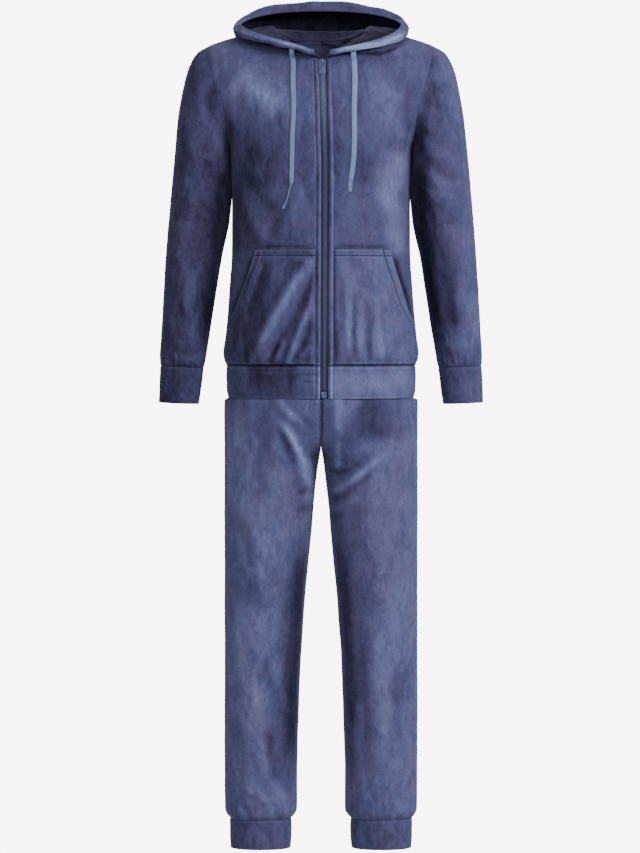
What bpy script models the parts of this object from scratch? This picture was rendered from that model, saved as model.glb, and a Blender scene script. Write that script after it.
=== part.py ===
"""Lounge set for a woman, size M: a zip hooded jacket over cuffed trousers, hollow and open as worn.

Metres, +Z up. The wearer faces -Y and the wearer's left is +X. The origin is the middle of the neck,
level with the shoulder points. Every sewn piece is a wall of cloth of its own. Pieces that are sewn
together share the points of their seam and stop 0.3 mm apart.
"""

import math

import bmesh
import bpy
import numpy as np

# Driving sizes
CLOTH = 0.002            # thickness of the cloth
SEAM = 0.0003            # space left between pieces that are sewn together
PANEL_STRIPS = 9         # facets across one front, and across half of the back
LEG_STRIPS = 8           # facets across one leg panel
UNDERARM = 6             # row of the jacket panels where the armhole starts
NECK = 11                # row of the jacket panels where the neckline starts
NECK_STEPS = 4           # facets along the neckline of one front, and of half of the back

# The jacket's panels, hem to shoulder. Each row is a curve round the body. It starts at the zip or the
# centre back ("in"), ends at the side seam or the armhole ("out"), and leaves both ends along the
# handles dx, dy. "rise" lifts the middle of the row.
PANEL_COLUMNS = ("in_x", "in_y", "in_z", "in_dx", "in_dy", "out_x", "out_y", "out_z", "out_dx", "out_dy", "rise")
FRONT = (
    (0.0074, -0.1205, -0.567, 0.100, 0.000, 0.1700, 0.004, -0.5670, 0.000, -0.072, 0.000),   # hem seam
    (0.0074, -0.1260, -0.545, 0.104, 0.000, 0.1745, 0.004, -0.5450, 0.000, -0.078, 0.000),
    (0.0074, -0.1255, -0.486, 0.102, 0.000, 0.1690, 0.004, -0.4860, 0.000, -0.077, 0.000),
    (0.0074, -0.1220, -0.425, 0.098, 0.000, 0.1640, 0.004, -0.4250, 0.000, -0.074, 0.000),
    (0.0074, -0.1185, -0.366, 0.095, 0.000, 0.1592, 0.004, -0.3660, 0.000, -0.072, 0.000),   # pocket top
    (0.0074, -0.1185, -0.280, 0.095, 0.000, 0.1580, 0.004, -0.2800, 0.000, -0.072, 0.000),   # waist
    (0.0074, -0.1210, -0.190, 0.095, 0.000, 0.1635, 0.004, -0.1800, 0.000, -0.072, 0.000),   # underarm
    (0.0074, -0.1195, -0.154, 0.090, 0.000, 0.1655, -0.026, -0.1630, -0.010, -0.050, 0.000),
    (0.0074, -0.1170, -0.121, 0.085, 0.000, 0.1705, -0.046, -0.1300, -0.030, -0.034, 0.000),
    (0.0074, -0.1135, -0.088, 0.080, 0.000, 0.1785, -0.053, -0.0940, -0.045, -0.026, 0.000),
    (0.0074, -0.1085, -0.056, 0.075, 0.000, 0.1880, -0.050, -0.0600, -0.055, -0.022, 0.000),
    (0.0074, -0.1020, -0.025, 0.065, 0.000, 0.1950, -0.040, -0.0310, -0.055, -0.018, 0.001),  # zip top
    (0.0350, -0.0880, -0.015, 0.045, 0.004, 0.1985, -0.027, -0.0100, -0.050, -0.014, 0.003),
    (0.0640, -0.0540, 0.007, 0.040, 0.010, 0.2000, -0.013, 0.0020, -0.045, -0.008, 0.005),
    (0.0800, -0.0030, 0.031, 0.040, 0.000, 0.2005, 0.002, 0.0065, -0.040, -0.001, 0.006),    # shoulder
)
BACK = (
    (0.0000, 0.1200, -0.567, 0.095, 0.000, 0.1700, 0.004, -0.5670, 0.000, 0.070, 0.000),     # hem seam
    (0.0000, 0.1270, -0.545, 0.100, 0.000, 0.1745, 0.004, -0.5450, 0.000, 0.076, 0.000),
    (0.0000, 0.1240, -0.486, 0.098, 0.000, 0.1690, 0.004, -0.4860, 0.000, 0.074, 0.000),
    (0.0000, 0.1140, -0.425, 0.095, 0.000, 0.1640, 0.004, -0.4250, 0.000, 0.068, 0.000),
    (0.0000, 0.1040, -0.366, 0.092, 0.000, 0.1592, 0.004, -0.3660, 0.000, 0.063, 0.000),     # pocket top
    (0.0000, 0.1000, -0.280, 0.092, 0.000, 0.1580, 0.004, -0.2800, 0.000, 0.062, 0.000),     # waist
    (0.0000, 0.1080, -0.185, 0.095, 0.000, 0.1635, 0.004, -0.1800, 0.000, 0.066, 0.000),     # underarm
    (0.0000, 0.1095, -0.148, 0.095, 0.000, 0.1655, 0.036, -0.1630, -0.008, 0.045, 0.000),
    (0.0000, 0.1090, -0.112, 0.095, 0.000, 0.1695, 0.054, -0.1310, -0.028, 0.030, 0.000),
    (0.0000, 0.1065, -0.074, 0.090, 0.000, 0.1765, 0.060, -0.0970, -0.045, 0.022, 0.000),
    (0.0000, 0.0990, -0.030, 0.085, 0.000, 0.1855, 0.056, -0.0640, -0.055, 0.020, 0.000),
    (0.0000, 0.0800, 0.018, 0.060, 0.000, 0.1930, 0.044, -0.0360, -0.055, 0.018, 0.002),     # centre neck
    (0.0350, 0.0700, 0.020, 0.045, 0.000, 0.1975, 0.030, -0.0120, -0.050, 0.012, 0.004),
    (0.0640, 0.0430, 0.025, 0.040, -0.004, 0.2000, 0.016, 0.0015, -0.045, 0.006, 0.005),
    (0.0800, -0.0030, 0.031, 0.040, 0.000, 0.2005, 0.002, 0.0065, -0.040, -0.001, 0.006),    # shoulder
)

# The left sleeve below its armhole, and its cuff. Each row is an oval through an outer and an inner point.
TUBE_COLUMNS = ("out_x", "out_z", "in_x", "in_z", "mid_y", "half_y")
SLEEVE = (
    (0.2220, -0.0060, 0.1642, -0.1860, 0.0030, 0.0590),
    (0.2380, -0.0340, 0.1640, -0.1980, 0.0030, 0.0620),
    (0.2490, -0.0760, 0.1636, -0.2140, 0.0020, 0.0640),
    (0.2570, -0.1240, 0.1634, -0.2360, 0.0010, 0.0640),
    (0.2630, -0.1850, 0.1636, -0.2660, 0.0000, 0.0620),
    (0.2700, -0.2620, 0.1668, -0.3080, -0.0020, 0.0590),
    (0.2775, -0.3500, 0.1770, -0.3700, -0.0050, 0.0550),
    (0.2830, -0.4350, 0.1888, -0.4420, -0.0080, 0.0505),
    (0.2880, -0.5150, 0.2005, -0.5180, -0.0110, 0.0465),
    (0.2900, -0.5480, 0.2065, -0.5520, -0.0120, 0.0455),   # blouse over the cuff
    (0.2885, -0.5680, 0.2105, -0.5725, -0.0125, 0.0400),   # cuff seam
)
SLEEVE_CUFF = (
    (0.2905, -0.5980, 0.2140, -0.6020, -0.0135, 0.0390),
    (0.2915, -0.6330, 0.2190, -0.6360, -0.0145, 0.0375),
)

# The left half of the hood, as rings from the neck seam, over the stand, down into the pouch and up to
# the rolled free edge. A ring runs from the zip ("front") over the shoulder ("side") to the centre back.
# "early" is the part of the way to the centre back's height that a ring already covers by the shoulder.
HOOD_COLUMNS = ("front_x", "front_y", "front_z", "side_x", "side_y", "side_z", "back_y", "back_z", "early")
HOOD = (
    (0.0074, -0.1020, -0.0250, 0.0800, -0.003, 0.0310, 0.080, 0.0180, 0.30),    # neck seam
    (0.0080, -0.1050, -0.0205, 0.0890, 0.002, 0.0400, 0.090, 0.0375, 0.30),     # stand
    (0.0100, -0.1100, -0.0195, 0.1100, 0.004, 0.0385, 0.114, -0.0300, 0.10),    # fall
    (0.0125, -0.1145, -0.0195, 0.1340, 0.004, 0.0325, 0.138, -0.1300, 0.04),    # bottom fold
    (0.0145, -0.1180, -0.0165, 0.1545, 0.001, 0.0275, 0.172, -0.0500, 0.10),    # rise
    (0.0150, -0.1170, -0.0120, 0.1585, -0.002, 0.0370, 0.143, 0.0985, 0.33),    # crest
    (0.0135, -0.1110, -0.0100, 0.1490, -0.003, 0.0440, 0.125, 0.0830, 0.30),    # free edge
)
HOOD_ROWS = 9            # facets from the neck seam to the free edge
LIP_DROOP = 0.007        # how much lower the front lip hangs on the wearer's left

# The left leg's panels, waist to ankle, with the columns of the jacket's panels.
LEG_FRONT = (
    (0.0000, -0.0980, -0.445, 0.075, 0.000, 0.1360, 0.002, -0.445, 0.000, -0.055, 0.0),      # waist seam
    (0.0000, -0.1060, -0.500, 0.083, 0.000, 0.1500, 0.002, -0.500, 0.000, -0.060, 0.0),
    (0.0000, -0.1120, -0.560, 0.090, 0.000, 0.1590, 0.002, -0.560, 0.000, -0.065, 0.0),
    (0.0000, -0.1130, -0.624, 0.092, 0.000, 0.1643, 0.002, -0.624, 0.000, -0.067, 0.0),      # under the hem
    (0.0000, -0.1180, -0.631, 0.096, 0.000, 0.1715, 0.002, -0.631, 0.000, -0.071, 0.0),
    (0.0000, -0.1210, -0.656, 0.096, -0.001, 0.1742, 0.002, -0.656, 0.000, -0.078, 0.0),
    (0.0000, -0.1080, -0.688, 0.070, -0.014, 0.1742, 0.002, -0.694, 0.000, -0.100, 0.0),
    (0.0000, -0.0720, -0.708, 0.034, -0.050, 0.1742, 0.002, -0.728, 0.000, -0.124, 0.0),
    (0.0000, -0.0340, -0.714, 0.012, -0.090, 0.1742, 0.002, -0.762, 0.000, -0.136, 0.0),
    (0.0000, 0.0000, -0.716, 0.003, -0.130, 0.1742, 0.001, -0.800, 0.000, -0.138, 0.0),      # crotch
    (0.0065, 0.0000, -0.756, 0.000, -0.136, 0.1742, 0.001, -0.835, 0.000, -0.135, 0.0),
    (0.0125, 0.0000, -0.812, 0.000, -0.132, 0.1742, 0.001, -0.876, 0.000, -0.130, 0.0),
    (0.0185, 0.0000, -0.880, 0.000, -0.124, 0.1742, 0.001, -0.928, 0.000, -0.123, 0.0),
    (0.0300, 0.0000, -1.005, 0.000, -0.107, 0.1742, 0.001, -1.018, 0.000, -0.107, 0.0),      # knee
    (0.0385, 0.0030, -1.150, 0.000, -0.088, 0.1742, 0.004, -1.150, 0.000, -0.088, 0.0),
    (0.0425, 0.0040, -1.290, 0.000, -0.078, 0.1742, 0.005, -1.290, 0.000, -0.078, 0.0),
    (0.0430, 0.0030, -1.366, 0.000, -0.076, 0.1738, 0.003, -1.366, 0.000, -0.076, 0.0),      # blouse
    (0.0530, 0.0010, -1.384, 0.000, -0.060, 0.1650, 0.001, -1.384, 0.000, -0.060, 0.0),      # cuff seam
)
LEG_BACK = (
    (0.0000, 0.0960, -0.445, 0.075, 0.000, 0.1360, 0.002, -0.445, 0.000, 0.055, 0.0),        # waist seam
    (0.0000, 0.1060, -0.500, 0.083, 0.000, 0.1500, 0.002, -0.500, 0.000, 0.060, 0.0),
    (0.0000, 0.1130, -0.560, 0.090, 0.000, 0.1590, 0.002, -0.560, 0.000, 0.066, 0.0),
    (0.0000, 0.1120, -0.624, 0.092, 0.000, 0.1643, 0.002, -0.624, 0.000, 0.066, 0.0),        # under the hem
    (0.0000, 0.1190, -0.631, 0.096, 0.000, 0.1715, 0.002, -0.631, 0.000, 0.073, 0.0),
    (0.0000, 0.1240, -0.656, 0.096, 0.002, 0.1742, 0.002, -0.656, 0.000, 0.084, 0.0),
    (0.0000, 0.1160, -0.688, 0.070, 0.016, 0.1742, 0.002, -0.694, 0.000, 0.110, 0.0),
    (0.0000, 0.0880, -0.708, 0.040, 0.048, 0.1742, 0.002, -0.728, 0.000, 0.132, 0.0),
    (0.0000, 0.0450, -0.714, 0.014, 0.092, 0.1742, 0.002, -0.762, 0.000, 0.144, 0.0),
    (0.0000, 0.0000, -0.716, 0.003, 0.140, 0.1742, 0.001, -0.800, 0.000, 0.146, 0.0),        # crotch
    (0.0065, 0.0000, -0.756, 0.000, 0.142, 0.1742, 0.001, -0.835, 0.000, 0.141, 0.0),
    (0.0125, 0.0000, -0.812, 0.000, 0.134, 0.1742, 0.001, -0.876, 0.000, 0.132, 0.0),
    (0.0185, 0.0000, -0.880, 0.000, 0.122, 0.1742, 0.001, -0.928, 0.000, 0.121, 0.0),
    (0.0300, 0.0000, -1.005, 0.000, 0.104, 0.1742, 0.001, -1.018, 0.000, 0.103, 0.0),        # knee
    (0.0385, 0.0030, -1.150, 0.000, 0.094, 0.1742, 0.004, -1.150, 0.000, 0.092, 0.0),
    (0.0425, 0.0040, -1.290, 0.000, 0.080, 0.1742, 0.005, -1.290, 0.000, 0.080, 0.0),
    (0.0430, 0.0030, -1.366, 0.000, 0.076, 0.1738, 0.003, -1.366, 0.000, 0.076, 0.0),        # blouse
    (0.0530, 0.0010, -1.384, 0.000, 0.060, 0.1650, 0.001, -1.384, 0.000, 0.060, 0.0),        # cuff seam
)

# The largest folds, as soft ridges from one place to another, with their reach to the sides and height
FOLD_COLUMNS = ("from_x", "from_z", "to_x", "to_z", "reach", "height")
THIGH_FOLDS = (
    (-0.080, -0.640, -0.062, -0.680, 0.018, 0.0050),
    (-0.066, -0.692, -0.024, -0.785, 0.018, 0.0055),
    (0.028, -0.640, 0.026, -0.697, 0.016, 0.0050),
    (0.095, -0.743, 0.022, -0.797, 0.018, 0.0060),
    (0.062, -0.810, 0.022, -0.834, 0.018, 0.0040),
    (-0.105, -0.900, -0.100, -1.330, 0.020, 0.0030),
    (0.090, -0.890, 0.098, -1.330, 0.020, 0.0035),
)
POCKET_FOLDS_RIGHT = ((-0.030, -0.385, -0.126, -0.560, 0.016, 0.0060), (-0.016, -0.450, -0.056, -0.550, 0.012, 0.0040))
POCKET_FOLDS_LEFT = ((0.075, -0.385, 0.068, -0.560, 0.012, 0.0045), (0.110, -0.400, 0.118, -0.560, 0.012, 0.0040))
BAND_FOOT = -0.640       # the thigh folds start below this height, under the hem band
SIDE_FADE = 0.05         # depth over which the folds fade out towards the side seams

# Bands, as rings below (or above) a seam: how far along, and how much of the seam's outline is kept
BAND_COLUMNS = ("drop", "keep")
HEM_BAND = ((0.0, 1.0), (0.020, 1.006), (0.0455, 1.000), (0.058, 0.983))
WAISTBAND = ((0.0, 1.0), (-0.038, 0.975))
ANKLE_CUFF = ((0.0, 1.0), (0.030, 1.000), (0.053, 0.970))
BOX_ROW = 2              # row of the hem band where the zip's bottom box starts

# The left pocket: for each row of the front panel that it reaches, how far across the panel it runs.
# Its upper three sides are sewn flat and the slanting side stands off the panel as the hand opening.
POCKET_COLUMNS = ("panel_row", "across")
POCKET = (
    (0.10, 0.885),       # hem seam
    (1.00, 0.900),
    (1.65, 0.845),       # lower end of the hand opening
    (2.30, 0.640),
    (2.90, 0.555),
    (3.45, 0.518),
    (4.00, 0.498),       # top edge
)
POCKET_START = 0.035     # how far across the panel the pocket starts, beside the zip
POCKET_STRIPS = 7
MOUTH_LOW = 1.65         # row of the front panel at the lower end of the hand opening
POCKET_LIFT = 0.0008     # clear of the panel's facets along the sewn sides
POCKET_FULLNESS = 0.012  # how far the middle of the hand opening stands off

# The zip
ZIP_SWAY_Z = (-0.62, -0.21, -0.02, 0.05)      # heights, and how far the zip has shifted to the left there
ZIP_SWAY_X = (0.0054, 0.0072, 0.0018, 0.0)
SWAY_REACH = 0.165       # half width over which the front follows the zip's sway
CHAIN_HALF = 0.0028
TAPE_THICK = 0.0008
TAPE_BEHIND = 0.30       # how far behind the first facet of the front the tape reaches
SLIDER_WIDE = 0.0100
SLIDER_TALL = 0.0125
SLIDER_FACE = -0.0018    # the slider's face, ahead of the front's own surface
BRIDGE_STAND = 0.0034    # height of the bridge over the slider's face
PULL_WIDE = 0.0120
PULL_TALL = 0.0250
PULL_THICK = 0.0012
PIN_RADIUS = 0.0007      # the pull's cross bar, under the slider's bridge

# The drawstrings: middle line of each flat tape from the hood's hem down the chest, and its widths
DRAWSTRING_THICK = 0.0014
STRING_COLUMNS = ("x", "y", "z", "width")
STRING_LEFT = (
    (0.0570, -0.0915, -0.0102, 0.0099),      # out from under the hood
    (0.0574, -0.0926, -0.0185, 0.0099),
    (0.0589, -0.0974, -0.0290, 0.0099),
    (0.0590, -0.0991, -0.0370, 0.0099),
    (0.0591, -0.1013, -0.0450, 0.0099),
    (0.0592, -0.1034, -0.0530, 0.0099),
    (0.0592, -0.1051, -0.0600, 0.0099),
    (0.0592, -0.1084, -0.0780, 0.0098),
    (0.0592, -0.1113, -0.0970, 0.0098),
    (0.0590, -0.1143, -0.1230, 0.0096),
    (0.0587, -0.1162, -0.1500, 0.0095),
    (0.0578, -0.1176, -0.1980, 0.0090),
    (0.0562, -0.1175, -0.2200, 0.0090),
    (0.0541, -0.1175, -0.2333, 0.0088),
    (0.0522, -0.1175, -0.2457, 0.0074),      # whipped end
    (0.0511, -0.1174, -0.2598, 0.0070),
)
STRING_RIGHT = (
    (-0.0520, -0.0905, -0.0056, 0.0090),     # out from under the hood
    (-0.0515, -0.0906, -0.0160, 0.0090),
    (-0.0496, -0.0982, -0.0270, 0.0090),
    (-0.0493, -0.1002, -0.0350, 0.0090),
    (-0.0491, -0.1022, -0.0430, 0.0090),
    (-0.0490, -0.1039, -0.0500, 0.0090),
    (-0.0489, -0.1055, -0.0560, 0.0089),
    (-0.0488, -0.1092, -0.0770, 0.0089),
    (-0.0487, -0.1120, -0.0986, 0.0088),
    (-0.0492, -0.1144, -0.1230, 0.0087),
    (-0.0497, -0.1159, -0.1483, 0.0086),
    (-0.0506, -0.1169, -0.1855, 0.0084),
    (-0.0524, -0.1156, -0.2262, 0.0080),
    (-0.0525, -0.1151, -0.2420, 0.0076),
    (-0.0535, -0.1147, -0.2470, 0.0024),     # frayed to a thin tail
    (-0.0562, -0.1139, -0.2571, 0.0022),
    (-0.0597, -0.1126, -0.2739, 0.0022),
    (-0.0640, -0.1112, -0.2845, 0.0022),
    (-0.0649, -0.1109, -0.2858, 0.0046),     # knot
    (-0.0668, -0.1105, -0.2894, 0.0040),
)
STRING_SLOPE = 0.21      # how far a tape's width turns back with the chest it lies on

VELOUR = (0.075, 0.085, 0.195)
SATIN = (0.30, 0.37, 0.60)
TAPE_BLUE = (0.040, 0.045, 0.110)
METAL_BLUE = (0.14, 0.17, 0.33)


def unit(vectors):
    """Vectors scaled to length one."""
    return vectors / np.linalg.norm(vectors, axis=-1, keepdims=True)


def glide(table, at):
    """Rows of a table at in-between places (0 is its first row), by cubics that never overshoot."""
    values = np.array(table)
    steps = np.diff(values, axis=0)
    before, after = steps[:-1], steps[1:]
    agree = before * after > 0
    inner = np.where(agree, 2 * before * after / np.where(agree, before + after, 1), 0)
    slopes = np.vstack([steps[:1], inner, steps[-1:]])
    low = np.clip(np.floor(at).astype(int), 0, len(values) - 2)
    t = (at - low)[:, None]
    ends = values[low] * (1 + 2 * t) * (1 - t) ** 2 + values[low + 1] * t ** 2 * (3 - 2 * t)
    return ends + slopes[low] * t * (1 - t) ** 2 - slopes[low + 1] * t ** 2 * (1 - t)


def cubic(start, start_pull, end_pull, end, t):
    """Points at t along cubic curves given by two ends and two pulls, one curve for each row."""
    return (1 - t) ** 3 * start + 3 * t * (1 - t) ** 2 * start_pull + 3 * t ** 2 * (1 - t) * end_pull + t ** 3 * end


def panel(table, rows, across):
    """Points of a panel: one cubic per row, from its inner to its outer edge, at the places `across`."""
    at = dict(zip(PANEL_COLUMNS, glide(table, rows).T))
    start = np.stack([at["in_x"], at["in_y"], at["in_z"]], axis=-1)[:, None, :]
    end = np.stack([at["out_x"], at["out_y"], at["out_z"]], axis=-1)[:, None, :]
    third = (end - start)[:, 0, 2] / 3
    start_pull = start + np.stack([at["in_dx"], at["in_dy"], third], axis=-1)[:, None, :]
    end_pull = end + np.stack([at["out_dx"], at["out_dy"], -third], axis=-1)[:, None, :]
    t = np.broadcast_to(across, (len(rows), np.shape(across)[-1]))[:, :, None]
    points = cubic(start, start_pull, end_pull, end, t)
    points[:, :, 2] += at["rise"][:, None] * 4 * t[:, :, 0] * (1 - t[:, :, 0])
    return points


def ovals(table, count):
    """Rings of a sleeve: ovals that start at the outer side and pass the front, the inside and the back."""
    at = dict(zip(TUBE_COLUMNS, np.array(table).T))
    turn = 2 * math.pi * np.arange(count) / count
    middle_x, middle_z = (at["out_x"] + at["in_x"]) / 2, (at["out_z"] + at["in_z"]) / 2
    x = middle_x[:, None] + (at["out_x"] - middle_x)[:, None] * np.cos(turn)
    y = at["mid_y"][:, None] - at["half_y"][:, None] * np.sin(turn)
    z = middle_z[:, None] + (at["out_z"] - middle_z)[:, None] * np.cos(turn)
    return np.stack([x, y, z], axis=-1)


def hood_rings(rows, half_columns, droop):
    """Rings of the hood's left half: a cubic from the zip to the shoulder and one on to the centre back."""
    at = dict(zip(HOOD_COLUMNS, glide(HOOD, rows).T))
    front = np.stack([at["front_x"], at["front_y"], at["front_z"]], axis=-1)[:, None, :]
    side = np.stack([at["side_x"], at["side_y"], at["side_z"]], axis=-1)[:, None, :]
    back = np.stack([0 * at["back_y"], at["back_y"], at["back_z"]], axis=-1)[:, None, :]
    t = np.linspace(0, 1, half_columns + 1)[None, :, None]
    to_side, to_back = side - front, back - side
    first = cubic(front, front + to_side * (0.33, 0.15, 0.33), side - to_side * (0, 0.45, 0.33), side, t)
    hang = np.clip(rows - 2, 0, 1)[:, None] * droop
    first[:, :, 2] -= hang * np.sin(math.pi * t[:, :, 0])
    start_pull = to_back * (0, 0.80, 0)
    start_pull[:, :, 2] = to_back[:, :, 2] * at["early"][:, None]
    second = cubic(side, side + start_pull, back - to_back * (0.88, 0, 0), back, t)
    return np.concatenate([first, second[:, 1:]], axis=1)


def mirrored(grid):
    """The same piece for the other side of the body, its columns turned round to face outwards."""
    return grid[:, ::-1] * (-1, 1, 1)


def banded(seam, table):
    """Rings of a band along a seam: each drops by its own height and keeps a part of the seam's outline."""
    middle = (seam.min(axis=0) + seam.max(axis=0)) / 2
    rings = []
    for drop, keep in table:
        ring = middle + (seam - middle) * (keep, keep, 1)
        rings.append(ring - (0, 0, drop))
    return np.array(rings)


def with_sway(grid):
    """The grid with its front shifted sideways, as the zip sways on the body."""
    x, y, z = grid[..., 0], grid[..., 1], grid[..., 2]
    nearness = np.clip(1 - (x / SWAY_REACH) ** 2, 0, 1) * np.clip(-y / 0.05, 0, 1)
    shift = np.interp(z, ZIP_SWAY_Z, ZIP_SWAY_X) * nearness
    return grid + shift[..., None] * (1, 0, 0)


def numbers(grid, kind):
    """The grid's points numbered as patches of rows and columns.

    A "tube" closes on its first column. The "back" is two halves that share the centre column up to the
    neckline and part above it.
    """
    number = np.arange(grid.shape[0] * grid.shape[1]).reshape(grid.shape[:2])
    if kind == "tube":
        return [np.hstack([number, number[:, :1]])]
    if kind == "back":
        middle = grid.shape[1] // 2
        number[:NECK + 1, middle] = number[:NECK + 1, middle - 1]
        return [number[:, :middle], number[:, middle:]]
    return [number]


def with_folds(grid, folds, strength):
    """The grid with soft ridges raised out of its front, as strongly as `strength` says at each point."""
    places = grid[..., (0, 2)]
    raised = grid.copy()
    for from_x, from_z, to_x, to_z, reach, height in folds:
        start, way = np.array((from_x, from_z)), np.array((to_x - from_x, to_z - from_z))
        along = np.clip((places - start) @ way / (way @ way), 0, 1)
        away = np.linalg.norm(places - start - along[..., None] * way, axis=-1)
        raised[..., 1] -= height * np.exp(-(away / reach) ** 2) * strength
    return raised


def on_thighs(grid):
    """How strongly the thigh folds show at each point: not under the hem band nor at the side seams."""
    below = np.clip((BAND_FOOT - grid[..., 2]) / 0.02, 0, 1)
    return below * np.clip(-grid[..., 1] / SIDE_FADE, 0, 1)


def sheet_faces(grid, kind):
    """Triangles of one sheet over a grid, each facet split along its shorter diagonal."""
    points = grid.reshape(-1, 3)
    faces = []
    for number in numbers(grid, kind):
        a, b, c, d = number[:-1, :-1], number[:-1, 1:], number[1:, 1:], number[1:, :-1]
        over = np.linalg.norm(points[a] - points[c], axis=-1) <= np.linalg.norm(points[b] - points[d], axis=-1)
        over = over[..., None]
        first = np.where(over, np.stack([a, b, c], axis=-1), np.stack([a, b, d], axis=-1))
        second = np.where(over, np.stack([a, c, d], axis=-1), np.stack([b, c, d], axis=-1))
        faces += [first.reshape(-1, 3), second.reshape(-1, 3)]
    return np.vstack(faces)


def rim_faces(faces, points, behind):
    """Triangles that join a sheet's free edges to the same edges of the sheet behind it.

    Which way each facing pair is split depends only on where it is, so that sewn rims stay parallel.
    """
    place = np.abs(points[:, 0]) + 2 * points[:, 1] + 3 * points[:, 2]
    sides = np.sort(np.vstack([faces[:, :2], faces[:, 1:], faces[:, ::2]]), axis=1)
    sides, times = np.unique(sides, axis=0, return_counts=True)
    start, end = sides[times == 1].T
    lower = place[start] < place[end]
    a, b = np.where(lower, start, end), np.where(lower, end, start)
    return np.vstack([np.stack([a, b, b + behind], axis=-1), np.stack([a, b + behind, a + behind], axis=-1)])


def outward_directions(sheets):
    """For each grid, a unit outward direction per point, shared by all sheets that are sewn there."""
    points = np.vstack([grid.reshape(-1, 3) for grid, kind in sheets.values()])
    places, place_of = np.unique(np.round(points, 6), axis=0, return_inverse=True)
    place_of = place_of.reshape(-1)
    total = np.zeros_like(places)
    first = 0
    for grid, kind in sheets.values():
        faces = sheet_faces(grid, kind) + first
        a, b, c = points[faces[:, 0]], points[faces[:, 1]], points[faces[:, 2]]
        facing = np.cross(b - a, c - a)
        for corner in range(3):
            np.add.at(total, place_of[faces[:, corner]], facing)
        first += grid.shape[0] * grid.shape[1]
    directions = (total / np.maximum(np.linalg.norm(total, axis=-1, keepdims=True), 1e-12))[place_of]
    shared = {}
    first = 0
    for name, (grid, kind) in sheets.items():
        size = grid.shape[0] * grid.shape[1]
        shared[name] = directions[first:first + size].reshape(grid.shape)
        first += size
    return shared


def drawn_in(grid, kind):
    """The grid with its edges drawn in by half of a seam's space."""
    trimmed = grid.copy()
    for edge, inside in ((0, 1), (-1, -2)):
        trimmed[edge] += unit(grid[inside] - grid[edge]) * SEAM / 2
        if kind != "tube":
            trimmed[:, edge] += unit(grid[:, inside] - grid[:, edge]) * SEAM / 2
    return trimmed


def material(name, colour, roughness, metallic=0.0):
    """A Principled material."""
    made = bpy.data.materials.new(name)
    made.use_nodes = True
    shader = made.node_tree.nodes["Principled BSDF"]
    shader.inputs["Base Color"].default_value = (*colour, 1)
    shader.inputs["Roughness"].default_value = roughness
    shader.inputs["Metallic"].default_value = metallic
    return made


def solid(name, points, faces, colour, roughness=0.85, metallic=0.0):
    """One named closed body, its faces turned outwards."""
    mesh = bpy.data.meshes.new(name)
    mesh.from_pydata(points.tolist(), [], faces)
    shape = bmesh.new()
    shape.from_mesh(mesh)
    bmesh.ops.recalc_face_normals(shape, faces=shape.faces)
    shape.to_mesh(mesh)
    shape.free()
    mesh.materials.append(material(name, colour, roughness, metallic))
    made = bpy.data.objects.new(name, mesh)
    bpy.context.collection.objects.link(made)
    return made


def cloth(name, outer, directions, kind="flat"):
    """A wall of cloth: the outer grid, the same grid moved in by the cloth's thickness, and the rims."""
    inner = outer - directions * CLOTH
    points = np.vstack([drawn_in(outer, kind).reshape(-1, 3), drawn_in(inner, kind).reshape(-1, 3)])
    front = sheet_faces(outer, kind)
    behind = len(points) // 2
    faces = np.vstack([front, front[:, ::-1] + behind, rim_faces(front, points, behind)])
    used, faces = np.unique(faces, return_inverse=True)
    return solid(name, points[used], faces.reshape(-1, 3).tolist(), VELOUR)


def strip(name, rings, colour, roughness=0.85, metallic=0.0):
    """A closed bar through rings of the same number of corners, with flat ends."""
    rings = np.asarray(rings)
    count, corners = rings.shape[:2]
    sides = sheet_faces(rings, "tube").tolist()
    caps = [list(range(corners)), list(range((count - 1) * corners, count * corners))]
    return solid(name, rings.reshape(-1, 3), sides + caps, colour, roughness, metallic)


def jacket_sheets():
    """Outer sheets of the jacket's sewn pieces, each a grid of points that faces outwards."""
    rows = np.concatenate([np.arange(NECK), np.linspace(NECK, len(FRONT) - 1, NECK_STEPS + 1)])
    across = np.linspace(0, 1, PANEL_STRIPS + 1)
    front = panel(FRONT, rows, across)
    back = panel(BACK, rows, across)
    armhole = np.vstack([front[:UNDERARM - 1:-1, -1], back[UNDERARM + 1:-1, -1]])
    below = ovals(SLEEVE, len(armhole))
    sleeve = np.concatenate([armhole[None], below])
    cuff = np.concatenate([below[-1:], ovals(SLEEVE_CUFF, len(armhole))])
    whole_back = np.concatenate([back[:, ::-1], back * (-1, 1, 1)], axis=1)
    half_hem = np.vstack([front[0, :-1], back[0, ::-1]])
    hem = np.vstack([half_hem * (-1, 1, 1), half_hem[-2::-1]])
    neck = np.vstack([front[NECK:, 0], back[NECK:-1, 0][::-1]])
    sheets = {
        "jacket_front_left": (front, "flat"),
        "jacket_front_right": (mirrored(front), "flat"),
        "jacket_back": (whole_back, "back"),
        "sleeve_left": (sleeve, "tube"),
        "sleeve_right": (mirrored(sleeve), "tube"),
        "sleeve_cuff_left": (cuff, "tube"),
        "sleeve_cuff_right": (mirrored(cuff), "tube"),
        "hem_band": (banded(hem, HEM_BAND), "flat"),
        "hood_left": (hood_half(neck, LIP_DROOP), "flat"),
        "hood_right": (mirrored(hood_half(neck, 0.0)), "flat"),
    }
    sheets = {name: (with_sway(grid), kind) for name, (grid, kind) in sheets.items()}
    for name in ("hood_left", "hood_right"):
        seam = sheets[name][0][0]
        seam[1::2] = (seam[:-1:2] + seam[2::2]) / 2
        seam[:, 2] += SEAM
    return sheets


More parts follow.
